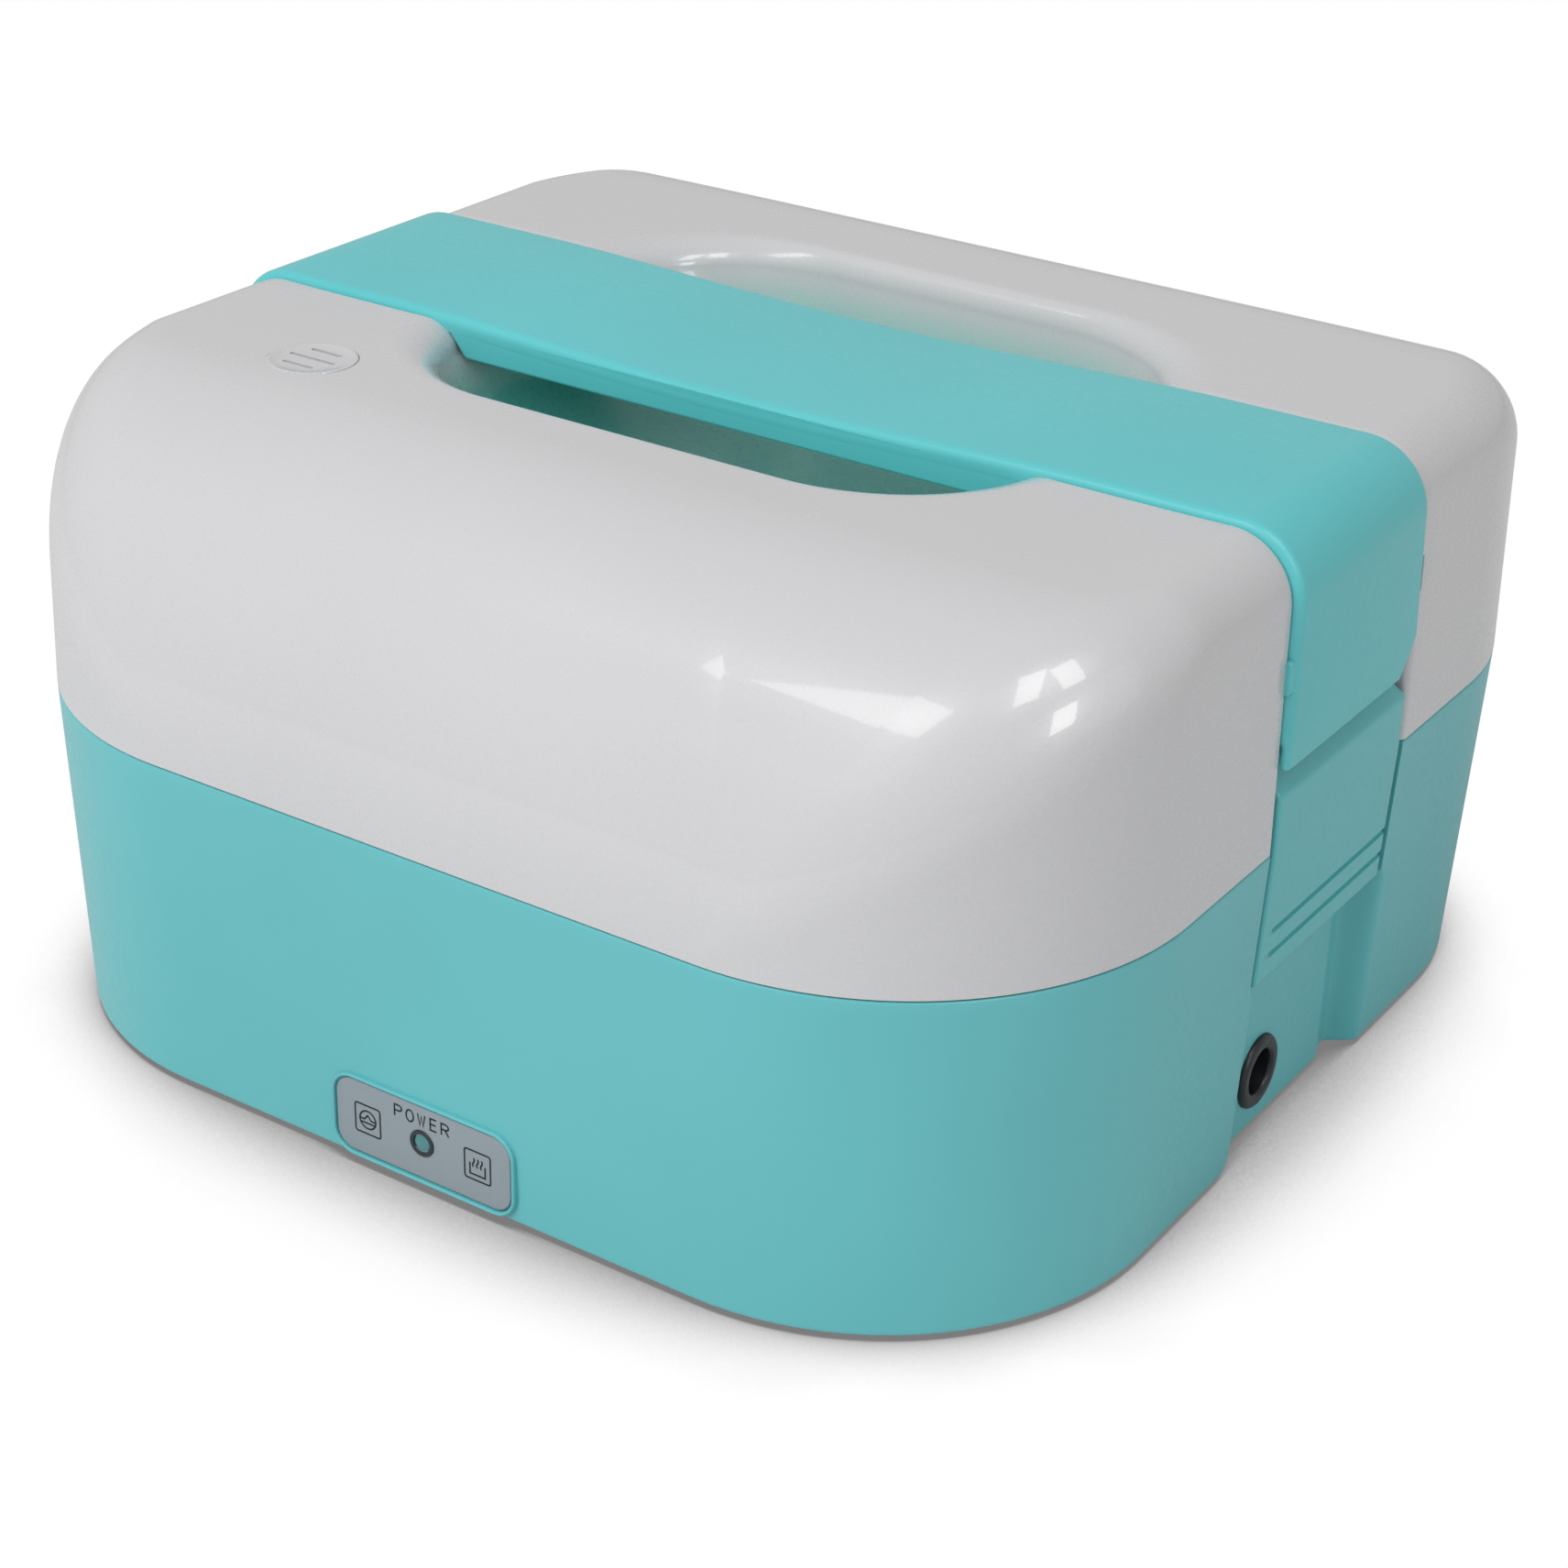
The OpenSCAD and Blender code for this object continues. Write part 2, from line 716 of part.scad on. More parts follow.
module inner_leads() {
    heater_x = heater_w / 2 + lead_r;
    heater_z = plate_z - heater_t / 2;
    fuse_z = plate_z - fuse_r;
    start_x = inlet_tab_x - 2 * lead_r;
    high_z = inlet_z + inlet_pin_gap;
    low_z = inlet_z - inlet_pin_gap;
    color([0.75, 0.2, 0.16]) {
        lead([[start_x, inlet_y, low_z], [lead_turn_x, inlet_y, low_z],
            [lead_turn_x, inlet_y - lead_step, low_z], [lead_turn_x, inlet_y - lead_step, heater_z],
            [heater_x + lead_r, inlet_y - lead_step, heater_z]]);
        lead([[start_x, inlet_y, high_z], [lead_far_x, inlet_y, high_z], [lead_far_x, fuse_y, high_z],
            [lead_far_x, fuse_y, fuse_z], [fuse_len / 2 + lead_r, fuse_y, fuse_z]]);
        lead([[-fuse_len / 2 - lead_r, fuse_y, fuse_z], [-lead_far_x, fuse_y, fuse_z],
            [-lead_far_x, heater_tail_y, fuse_z], [-heater_x, heater_tail_y, fuse_z]]);
        for (sx = [-1, 1])
            lead([[sx * board_post_x / 2, board_y + board_t + lead_r, panel_z],
                [sx * board_post_x / 2, lead_bend_y, panel_z], [sx * lead_side_x, lead_bend_y, panel_z],
                [sx * lead_side_x, lead_side_y, panel_z], [sx * lead_side_x, lead_side_y, heater_z],
                [sx * heater_x, lead_side_y, heater_z]]);
    }
}

module indicator_panel() {
    color([0.6, 0.64, 0.67])
        difference() {
            side_profile(panel_y, panel_seat_y - touch)
                panel_outline(0);
            translate([0, 0, panel_z])
                rod_y(bezel_r + touch, panel_y - cut, panel_seat_y + cut);
        }
}

module lens_bezel() {
    color([0.16, 0.2, 0.22])
        translate([0, 0, panel_z])
            difference() {
                rod_y(bezel_r, bezel_front_y, frame_back_y);
                rod_y(lens_r + touch, bezel_front_y - cut, frame_back_y + cut);
            }
}

module indicator_lens() {
    color([0.3, 0.75, 0.74])
        translate([0, 0, panel_z]) {
            rod_y(lens_r, lens_front_y, lens_back_y);
            rod_y(lens_flange_r, frame_back_y, lens_back_y);
        }
}

module led_board() {
    color([0.16, 0.4, 0.26])
        translate([-board_w / 2, board_y, panel_z - board_h / 2])
            cube([board_w, board_t, board_h]);
}

module indicator_led() {
    color([0.55, 0.9, 0.86])
        translate([0, 0, panel_z])
            rod_y(lamp_r, lamp_y, board_y);
}

module inlet_pin_pair(grow) {
    for (sz = [-1, 1])
        translate([0, 0, sz * inlet_pin_gap])
            rod_x(inlet_pin_r, inlet_tab_x, inlet_pin_tip_x + grow);
}

module inlet_socket() {
    color([0.09, 0.11, 0.12])
        translate([0, inlet_y, inlet_z])
            difference() {
                union() {
                    rod_x(inlet_r, base_channel_x, base_channel_x + inlet_flange_t);
                    rod_x(inlet_body_r - touch, inlet_back_x, base_channel_x + touch);
                }
                rod_x(inlet_open_r, inlet_floor_x, far_out);
                inlet_pin_pair(0);
            }
}

module inlet_pins() {
    color([0.82, 0.7, 0.42])
        translate([0, inlet_y, inlet_z])
            inlet_pin_pair(0);
}

module inlet_nut() {
    color([0.2, 0.22, 0.23])
        translate([0, inlet_y, inlet_z])
            difference() {
                translate([pad_x - nut_t, 0, 0])
                    rotate([0, 90, 0])
                        cylinder(r = nut_r, h = nut_t, $fn = nut_sides);
                rod_x(inlet_body_r, pad_x - nut_t - cut, pad_x + cut);
            }
}

module rubber_feet() {
    color([0.5, 0.52, 0.54])
        at_four(foot_x, foot_y) {
            rod(foot_r, 0, base_z);
            rod(foot_plug_r, base_z - touch, base_z + foot_plug_h);
        }
}

module base_screws() {
    color([0.6, 0.61, 0.63])
        at_four(boss_at, boss_at) {
            rod(screw_head_r, head_pocket_z - screw_head_h, head_pocket_z);
            rod(screw_r, head_pocket_z, well_floor_z - well_wall - cut);
        }
}

// food containers

module steel_container() {
    color([0.78, 0.79, 0.8])
        difference() {
            union() {
                square_slab(pan_half, pan_r, pan_low_z, pan_rim_z + steel_wall);
                square_slab(pan_rim_half, pan_r + 1, pan_rim_z, pan_rim_z + steel_wall);
            }
            square_slab(pan_half - steel_wall, pan_r - steel_wall, pan_low_z + steel_wall, seam_z);
        }
}

// one compartment of the tray between x0 and x1
module compartment(x0, x1) {
    translate([(x0 + x1) / 2, 0, 0])
        slab(x1 - x0, 2 * (tray_half - tray_wall), compartment_r, tray_low_z + tray_wall, seam_z);
}

module food_tray() {
    side = tray_half - tray_wall;
    color([0.9, 0.91, 0.91])
        difference() {
            union() {
                square_slab(tray_half, tray_r, tray_low_z, tray_rim_z + tray_rim_t);
                square_slab(tray_rim_half, pan_r, tray_rim_z, tray_rim_z + tray_rim_t);
            }
            intersection() {
                square_slab(side, tray_r - tray_wall, tray_low_z, seam_z);
                union() {
                    compartment(-side, rib_x - tray_wall / 2);
                    compartment(rib_x + tray_wall / 2, side);
                    square_slab(side, tray_r - tray_wall, rib_top_z, seam_z);
                }
            }
        }
}

module tray_cover() {
    color([0.86, 0.9, 0.91])
        difference() {
            union() {
                square_slab(cover_half, cover_r, cover_z, cover_z + cover_t);
                square_slab(cover_dome_half, cover_dome_r, cover_z, cover_z + cover_t + cover_dome_h);
                square_ring(skirt_half_w, skirt_r, cover_t, skirt_low_z, cover_z + touch);
            }
            square_slab(cover_dome_half - cover_t, cover_dome_r - cover_t,
                cover_z - cut, cover_z + cover_dome_h);
            translate(plug_pos)
                rod(plug_stem_r, cover_z, cover_z + cover_dome_h + cover_t + cut);
        }
}

module tray_seal() {
    color([0.55, 0.75, 0.76]) {
        square_ring(cover_half - touch, cover_r, seal_w, tray_rim_z + tray_rim_t, cover_z - touch);
        square_ring(skirt_half_w + cover_t - touch, skirt_r + cover_t, cover_t - seal_room,
            seal_low_z, cover_z);
    }
}

module steam_plug() {
    low = cover_z + cover_dome_h;
    color([0.55, 0.75, 0.76])
        translate(plug_pos) {
            rod(plug_stem_r, low - cover_t, low + cover_t + touch);
            rod(plug_r, low + cover_t, low + 2 * cover_t);
            rod(plug_stem_r + 1, low - cover_t, low);
        }
}

// lid

module vent_at() {
    translate([vent_x, vent_y])
        children();
}

// everything outside the strap's path, seen from the side, d below the strap's outer face
module outside_path(d) {
    polygon(concat([for (i = [0:len(path) - 1]) path_in(i, d)],
        [[-far_out, strap_end_z], [-far_out, far_out], [far_out, far_out], [far_out, strap_end_z]]));
}

module lid_hollow() {
    difference() {
        loft(lid_rows(lid_wall, 0, 8, 4, inner_insets));
        bowl_skin();
        side_profile(-lid_channel_half - lid_wall, lid_channel_half + lid_wall)
            outside_path(strap_t + lid_wall);
        both_sides()
            translate([lid_cheek_x, -lid_cheek_half, 0])
                cube([far_out, 2 * lid_cheek_half, lid_cheek_top]);
        at_four(panel_boss, panel_boss)
            rod(panel_boss_r, panel_flange_z + panel_t, far_out);
        vent_at()
            rod(vent_r + lid_wall, cap_seat_z - lid_wall, far_out);
    }
}

// limits of the strap's channel seen from the front end of X, its back wall following the strap's edge
module channel_limits() {
    back = lid_channel_half - strap_trim;
    rotate([90, 0, 90])
        linear_extrude(2 * far_out, center = true)
            polygon([[-lid_channel_half, 0], [lid_channel_half, 0], [lid_channel_half, strap_end_z],
                [back, corner_c[1]], [back, far_out], [-lid_channel_half, far_out]]);
}

module strap_channel() {
    intersection() {
        side_profile(-lid_channel_half, lid_channel_half)
            outside_path(strap_t + touch);
        channel_limits();
    }
    both_sides()
        translate([lid_pocket_x, -lid_channel_half, 0])
            cube([far_out, 2 * lid_channel_half, lid_pocket_top]);
    both_sides()
        translate([notch_x, -lid_channel_half - notch_w, notch_low_z])
            cube([far_out, 2 * (lid_channel_half + notch_w), notch_h]);
}

module lid_shell() {
    color([0.92, 0.92, 0.93])
        difference() {
            loft(lid_rows(0, lid_low_z, 12, 6, outer_insets));
            lid_hollow();
            bowl_void();
            strap_channel();
            both_sides()
                translate([pivot_x, 0, pivot_z])
                    rod_y(pin_r, -pin_half, pin_half);
            at_four(strap_boss_x, strap_boss_y)
                rod(strap_boss_r + channel_gap, strap_seat_z - 2 * lid_wall, far_out);
            at_four(panel_boss, panel_boss)
                rod(panel_screw_r, 0, panel_screw_top + cut);
            vent_at() {
                rod(vent_r + channel_gap, cap_seat_z, far_out);
                rod(tube_r + touch, 0, far_out);
            }
        }
}

module lid_inner_panel() {
    top = panel_flange_z + panel_t;
    color([0.93, 0.93, 0.94])
        difference() {
            union() {
                square_slab(panel_half, gasket_r + 1, panel_flange_z, top);
                square_slab(dome_half, dome_r, panel_flange_z, dome_z);
            }
            square_slab(dome_half - panel_t, dome_r - panel_t, panel_flange_z - cut, dome_z - panel_t);
            at_four(panel_boss, panel_boss)
                rod(screw_hole_r, 0, top + cut);
            vent_at()
                rod(tube_r - tube_wall, 0, dome_z + cut);
        }
}

module lid_gasket() {
    color([0.8, 0.82, 0.83])
        square_ring(gasket_half, gasket_r, gasket_w, base_top_z + touch, panel_flange_z);
}

module panel_screws() {
    color([0.6, 0.61, 0.63])
        at_four(panel_boss, panel_boss) {
            rod(panel_screw_r, panel_flange_z, panel_screw_top);
            rod(screw_head_r, panel_flange_z - screw_head_h, panel_flange_z);
        }
}

module vent_tube() {
    color([0.8, 0.82, 0.83])
        vent_at()
            difference() {
                rod(tube_r, dome_z, cap_seat_z);
                rod(tube_r - tube_wall, dome_z - cut, cap_seat_z + cut);
            }
}

module vent_cap() {
    color([0.92, 0.92, 0.93])
        vent_at()
            difference() {
                rod(vent_r, cap_seat_z, cap_top_z);
                rod(vent_r - cap_slot_w, cap_seat_z - cut, cap_seat_z + cap_slot_w / 2);
                for (k = [-1:1]) {
                    half = sqrt(pow(cap_slot_reach, 2) - pow(k * cap_slot_step, 2));
                    translate([-half, k * cap_slot_step - cap_slot_w / 2, cap_seat_z - cut])
                        cube([2 * half, cap_slot_w, 4 * cut]);
                }
            }
}

// strap with rounded outer edges, swept along its path
module strap_band() {
    half = strap_w / 2;
    r = strap_edge_r;
    front = concat([[strap_t, -half]], [for (a = [0:30:90]) [r - r * sin(a), -half + r - r * cos(a)]]);
    back = concat([for (a = [90:-30:0]) [r - r * sin(a), r * cos(a) - r]], [[strap_t, 0]]);
    loft([for (i = [0:len(path) - 1]) concat(
        [for (p = front) let (q = path_in(i, p[0])) [q[0], p[1], q[1]]],
        [for (p = back) let (q = path_in(i, p[0])) [q[0], back_half(path[i][1]) + p[1], q[1]]])]);
}

module grip_skirts() {
    end_x = skirt_half + skirt_slope;
    half = [[skirt_half, skirt_z], [end_x, strap_seat_z], [end_x, skirt_top_z]];
    for (y = [-skirt_y, skirt_y - strap_trim])
        translate([0, y, 0])
            side_profile(-skirt_wall / 2, skirt_wall / 2)
                polygon(concat(half, mirror_back(half)));
}

module strap_handle() {
    color([0.46, 0.76, 0.77])
        difference() {
            union() {
                strap_band();
                grip_skirts();
                at_four(strap_boss_x, strap_boss_y)
                    rod(strap_boss_r, strap_seat_z - lid_wall, strap_seat_z + cut);
                at_four(gripper_x, gripper_y)
                    rod(2 * gripper_r, plate_top_z, strap_seat_z);
                both_sides()
                    translate([path[0][0] - strap_t, -strap_w / 2 - notch_w, notch_low_z + ear_gap])
                        cube([strap_t - notch_w, 2 * notch_w, notch_h - 2 * ear_gap]);
            }
            at_four(strap_boss_x, strap_boss_y)
                rod(gripper_r, 0, strap_seat_z + strap_t / 2);
            at_four(gripper_x, gripper_y)
                rod(gripper_r, 0, strap_seat_z);
            both_sides()
                translate([0, strap_w / 2, strap_end_z])
                    rotate([45, 0, 0])
                        translate([lid_pocket_x, -strap_corner_cut / sqrt(2), -strap_corner_cut / sqrt(2)])
                            cube([far_out, strap_corner_cut * sqrt(2), strap_corner_cut * sqrt(2)]);
        }
}

module grip_underside() {
    w = 2 * (skirt_half - channel_gap);
    d = strap_w - 2 * (2 * channel_gap + skirt_wall) - strap_trim;
    color([0.4, 0.68, 0.7])
        difference() {
            translate([0, -strap_trim / 2, 0])
                slab(w, d, plug_r, skirt_z + channel_gap, plate_top_z);
            at_four(gripper_x, gripper_y) {
                rod(gripper_r, 0, far_out);
                rod(gripper_head_r, 0, skirt_z + channel_gap + gripper_head_h);
            }
        }
}

module grip_screws() {
    low = skirt_z + channel_gap;
    color([0.6, 0.61, 0.63])
        at_four(gripper_x, gripper_y) {
            rod(gripper_head_r, low, low + gripper_head_h);
            rod(gripper_r, low, strap_seat_z - cut);
        }
}

module strap_screws() {
    color([0.6, 0.61, 0.63])
        at_four(strap_boss_x, strap_boss_y) {
            rod(strap_boss_r + 1, strap_seat_z - lid_wall - screw_head_h, strap_seat_z - lid_wall);
            rod(gripper_r, strap_seat_z - lid_wall, strap_seat_z + strap_t / 2);
        }
}

module latch_pins() {
    color([0.72, 0.73, 0.75])
        both_sides()
            translate([pivot_x, 0, pivot_z])
                rod_y(pin_r, -pin_half, pin_half);
}

// right latch: face flush with the base, hook below the catch, arm up to the pivot
module latch() {
    low_in = face_x(latch_low_z) - latch_wall;
    difference() {
        union() {
            side_profile(-latch_w / 2, latch_w / 2)
                polygon([[low_in, latch_low_z], [face_x(latch_low_z), latch_low_z],
                    [face_x(seam_z), seam_z], [face_x(seam_z), latch_crease_z],
                    [arm_out_x, chamfer_top_z], [arm_out_x, pivot_z], [arm_in_x, pivot_z],
                    [arm_in_x, arm_low_z], [face_x(seam_z) - latch_wall, seam_z],
                    [face_x(hook_z) - latch_wall, hook_z], [hook_x, hook_z],
                    [hook_x, hook_z - hook_h / 2], [face_x(hook_z) - latch_wall, hook_z - hook_h]]);
            translate([pivot_x, 0, pivot_z])
                rod_y(knuckle_r, -latch_w / 2, latch_w / 2);
        }
        translate([pivot_x, 0, pivot_z])
            rod_y(pin_r + pin_clear, -latch_w, latch_w);
        for (z = [groove_z, groove_z + groove_pitch])
            translate([face_x(z) - groove_depth, groove_y[0], z - groove_w / 2])
                cube([latch_wall, groove_y[1] - groove_y[0], groove_w]);
        translate([0, latch_w / 2, chamfer_top_z])
            rotate([45, 0, 0])
                translate([arm_out_x, -latch_corner_cut, -latch_corner_cut])
                    cube([far_out, 2 * latch_corner_cut, 2 * latch_corner_cut]);
    }
}

module latch_right() {
    color([0.4, 0.66, 0.68])
        latch();
}

module latch_left() {
    color([0.4, 0.66, 0.68])
        mirror([1, 0, 0])
            latch();
}

base_shell();
inner_well();
heating_plate();
ptc_heater();
heater_clamp();
clamp_screws();
thermostat();
thermal_fuse();
inner_leads();
indicator_panel();
lens_bezel();
indicator_lens();
led_board();
indicator_led();
inlet_socket();
inlet_pins();
inlet_nut();
rubber_feet();
base_screws();
steel_container();
food_tray();
tray_cover();
tray_seal();
steam_plug();
lid_shell();
lid_inner_panel();
lid_gasket();
panel_screws();
strap_handle();
grip_underside();
grip_screws();
strap_screws();
vent_cap();
vent_tube();
latch_pins();
latch_right();
latch_left();
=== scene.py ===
"""Electric lunch box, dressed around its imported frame: shells, strap, latches, fittings, finishes and a studio."""
from types import SimpleNamespace

import bmesh
import bpy
import numpy as np
from mathutils import Matrix, Vector


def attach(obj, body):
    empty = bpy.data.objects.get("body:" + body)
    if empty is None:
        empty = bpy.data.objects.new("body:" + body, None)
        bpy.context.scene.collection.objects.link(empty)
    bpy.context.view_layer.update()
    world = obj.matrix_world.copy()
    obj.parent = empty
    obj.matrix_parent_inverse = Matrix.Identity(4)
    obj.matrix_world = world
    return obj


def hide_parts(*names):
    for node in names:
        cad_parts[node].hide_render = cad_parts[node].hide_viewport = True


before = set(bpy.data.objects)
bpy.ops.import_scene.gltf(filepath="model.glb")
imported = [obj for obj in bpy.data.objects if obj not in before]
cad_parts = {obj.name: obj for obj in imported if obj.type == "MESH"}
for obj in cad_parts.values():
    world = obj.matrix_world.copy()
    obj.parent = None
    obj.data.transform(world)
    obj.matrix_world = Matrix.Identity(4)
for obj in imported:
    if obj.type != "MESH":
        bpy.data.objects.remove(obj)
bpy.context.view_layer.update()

bl_info = {
    "name": "Electric lunch box",
    "version": (1, 0, 0),
    "blender": (4, 5, 0),
    "location": "View3D > Sidebar > Lunch box",
    "description": "Shells, strap, latches and finishes of an electric lunch box, made around its packed frame",
    "category": "Add Mesh",
}

MM = 0.001
TURN = 2 * np.pi
RIGHT = np.pi / 2
# darkest grey of the floor's painted contact shadow
SHADOW = 0.2


# sizes and colours that a user may change

def length(name, value, text):
    """A length property, stored in metres, whose default is given in millimetres."""
    return bpy.props.FloatProperty(name=name, description=text, default=value * MM, unit="LENGTH", precision=5)


def tint(name, value, text):
    """A colour property that shows as it is written, in sRGB."""
    return bpy.props.FloatVectorProperty(name=name, description=text, default=value, size=3, min=0.0, max=1.0,
                                         subtype="COLOR_GAMMA")


def amount(name, value, text):
    """A plain factor between 0 and 1."""
    return bpy.props.FloatProperty(name=name, description=text, default=value, min=0.0, max=1.0, subtype="FACTOR")


class BodySizes(bpy.types.PropertyGroup):
    """Sizes of the base."""
    half_w: length("Half width", 117.5, "Half width of base and lid at the seam")
    half_d: length("Half depth", 117.1, "Half depth of base and lid at the seam")
    corner: length("Corner", 58.3, "Plan corner radius at the seam")
    low_half_w: length("Lower half width", 114.75, "Half width of the base at its bottom edge")
    low_half_d: length("Lower half depth", 115.25, "Half depth of the base at its bottom edge")
    low_corner: length("Lower corner", 56.5, "Plan corner radius at the bottom edge")
    floor_z: length("Underside", 1.2, "Height of the base's underside")
    seam_z: length("Seam", 68.0, "Height of the seam between base and lid")
    seam_gap: length("Seam gap", 0.4, "Open line between base and lid")
    edge: length("Edge round", 0.5, "Rounding of the base's bottom and top edges")
    floor_x: length("Channel floor", 111.3, "Distance of the channels' floor from the middle")
    channel: length("Channel half width", 27.4, "Half width of the latch channels")
    pocket_front: length("Pocket front", -25.5, "Front end of the finger pockets")
    pocket_ramp: length("Pocket ramp", 18.5, "Start of the pockets' ramp")
    pocket_back: length("Pocket back", 28.5, "Outer end of the pockets' ramp")
    pocket_step: length("Pocket step", 1.6, "Extra depth of the pockets' back part")
    pocket_top: length("Pocket top", 39.3, "Level at which pocket turns into channel")


class LidSizes(bpy.types.PropertyGroup):
    """Sizes of the lid."""
    top_z: length("Top", 126.0, "Height of the flat white top")
    wall: length("Wall", 2.2, "Wall of the lid")
    reach: length("Round reach", 51.0, "Horizontal reach of the big front round")
    back_reach: length("Back round reach", 46.0, "Horizontal reach of the fuller back round")
    drop: length("Round drop", 57.9, "Height of the big front and back rounds")
    roll_side: length("Side roll", 11.9, "Rolled edge along the sides")
    roll_front: length("Front roll", 30.0, "Rolled edge at the front")
    roll_back: length("Back roll", 22.0, "Rolled edge at the back")
    lean: length("Lean", 1.2, "Inward lean of the walls up to the top")
    lip: length("Channel lip", 1.0, "Rounding of the strap channel's front edge")
    lip_low: length("Back lip below", 1.5, "Width of the channel's rounded back edge beside the latches")
    lip_high: length("Back lip above", 3.25, "Width of the channel's rounded back edge along the top")
    strap_end: length("Lip growth start", 84.5, "Height from which the back lip widens")
    channel: length("Channel half width", 27.45, "Half width of the strap channel")
    strap_depth: length("Channel depth", 2.25, "Depth of the strap channel in the white surface")
    pocket_x: length("Latch pocket", 108.9, "Distance of the latch pockets' floor from the middle")
    pocket_z: length("Latch pocket top", 98.0, "Upper end of the latch pockets")
    ceiling: length("Ceiling", 92.0, "Level of the lid's inner ceiling under the bowl")
    # the finger bowl's painted turquoise shade, standing in for the strap's shadow and turquoise bounce light, begins
    # and grows over these depths below the top
    shade_start: length("Bowl tint start", 7.0, "Depth below the top at which the bowl turns turquoise")
    shade_reach: length("Bowl tint reach", 9.0, "Further depth at which the bowl is fully turquoise")
    notch_z: length("Notch start", 98.0, "Lower end of the notches for the strap's ears")
    notch_top: length("Notch end", 105.0, "Upper end of the notches for the strap's ears")


class StrapSizes(bpy.types.PropertyGroup):
    """Sizes of the strap handle."""
    half: length("Half width", 27.15, "Half width of the strap")
    back_low: length("Back edge below", 26.65, "Position of the back edge at the lower ends")
    trim: length("Back trim", 1.75, "Narrowing of the back edge up to the strap's top")
    thick: length("Thickness", 3.4, "Thickness of the strap")
    proud: length("Proud", 1.2, "Height of the strap above the white lid")
    dip: length("Dip", 1.8, "Sag of the top at mid-span")
    dip_reach: length("Dip reach", 78.0, "Half length of the sag")
    edge: length("Edge round", 2.0, "Rounded edges of the strap")
    end_thick: length("End thickness", 1.3, "Thickness of the strap at its lower ends")
    relief_z: length("End relief level", 90.5, "Level below which the lower ends are thinner")
    end_z: length("Lower end", 84.5, "Height of the strap's lower ends")
    cut: length("Corner cut", 6.0, "Cut corner of the lower ends")
    skirt_z: length("Skirt level", 118.9, "Lowest level of the grip's skirts")
    skirt_half: length("Skirt half length", 59.5, "Half length of the skirts at their lowest level")
    skirt_wall: length("Skirt wall", 2.2, "Wall of the skirts")


class FittingSizes(bpy.types.PropertyGroup):
    """Sizes of the indicator plate, the power inlet, the vent cap and the feet."""
    plate_w: length("Plate width", 39.8, "Width of the indicator plate")
    plate_h: length("Plate height", 15.1, "Height of the indicator plate")
    plate_r: length("Plate corner", 3.8, "Corner radius of the indicator plate")
    plate_z: length("Plate level", 10.3, "Height of the plate's centre")
    plate_y: length("Plate front", -116.1, "Front plane of the plate")
    seat_y: length("Plate seat", -114.9, "Plane on which the plate sits")
    frame_y: length("Frame front", -116.5, "Front plane of the turquoise frame")
    frame_gap: length("Frame gap", 0.35, "Gap between plate and frame")
    frame_grow: length("Frame width", 1.0, "Reach of the frame beyond the plate")
    mark_w: length("Line width", 0.34, "Width of the printed lines")
    bezel_r: length("Lamp ring", 2.7, "Radius of the lamp's dark ring")
    lens_r: length("Lens", 1.8, "Radius of the lamp's lens")
    inlet_y: length("Inlet place", -9.8, "Place of the inlet along Y")
    inlet_z: length("Inlet level", 12.9, "Height of the inlet's axis")
    inlet_r: length("Inlet flange", 7.4, "Radius of the inlet's flange")
    inlet_open: length("Inlet opening", 4.5, "Radius of the inlet's opening")
    inlet_floor: length("Inlet floor", 103.5, "Distance of the inlet's floor from the middle")
    flange_t: length("Inlet flange thickness", 1.2, "Height of the inlet's flange over the pocket floor")
    vent_x: length("Vent X", -69.3, "Place of the vent cap along X")
    vent_y: length("Vent Y", -59.5, "Place of the vent cap along Y")
    vent_r: length("Vent radius", 8.6, "Radius of the vent cap")
    vent_up: length("Vent proud", 0.2, "Height of the vent cap over the lid")
    slot_w: length("Slot width", 1.0, "Width of the vent's slots")
    slot_step: length("Slot step", 4.0, "Distance between the vent's slots")
    slot_reach: length("Slot reach", 5.4, "Radius that the vent's slots end on")
    foot_x: length("Foot X", 104.0, "Place of the feet along X")
    foot_y: length("Foot Y", 50.0, "Place of the feet along Y")
    foot_r: length("Foot radius", 6.0, "Radius of the feet")


class Finish(bpy.types.PropertyGroup):
    """Colours and gloss."""
    teal: tint("Base teal", (0.38, 0.718, 0.735), "Turquoise of the base")
    teal_strap: tint("Strap teal", (0.355, 0.755, 0.77), "Turquoise of the strap")
    teal_latch: tint("Latch teal", (0.36, 0.725, 0.74), "Turquoise of the latches")
    # painted shade colour of the white finger bowl under the strap, standing in for its shadow and turquoise bounce
    # light
    teal_bowl_shade: tint("Bowl floor teal", (0.45, 0.79, 0.75), "Turquoise of the finger bowl's floor")
    white: tint("White", (0.775, 0.775, 0.782), "White of the lid")
    grey: tint("Panel grey", (0.54, 0.58, 0.605), "Grey of the indicator plate")
    teal_rough: amount("Teal roughness", 0.34, "Roughness of the turquoise plastic")
    white_rough: amount("White roughness", 0.28, "Roughness of the white plastic")


GROUPS = {"lunch_box_body": BodySizes, "lunch_box_lid": LidSizes, "lunch_box_strap": StrapSizes,
          "lunch_box_fittings": FittingSizes, "lunch_box_finish": Finish}


def sizes(group):
    """The lengths of a property group as plain numbers in millimetres."""
    values = getattr(bpy.context.scene, group)
    return SimpleNamespace(**{k: getattr(values, k) / MM for k in values.__annotations__})


# mesh helpers: every shape is a grid of points that is worked out as whole arrays

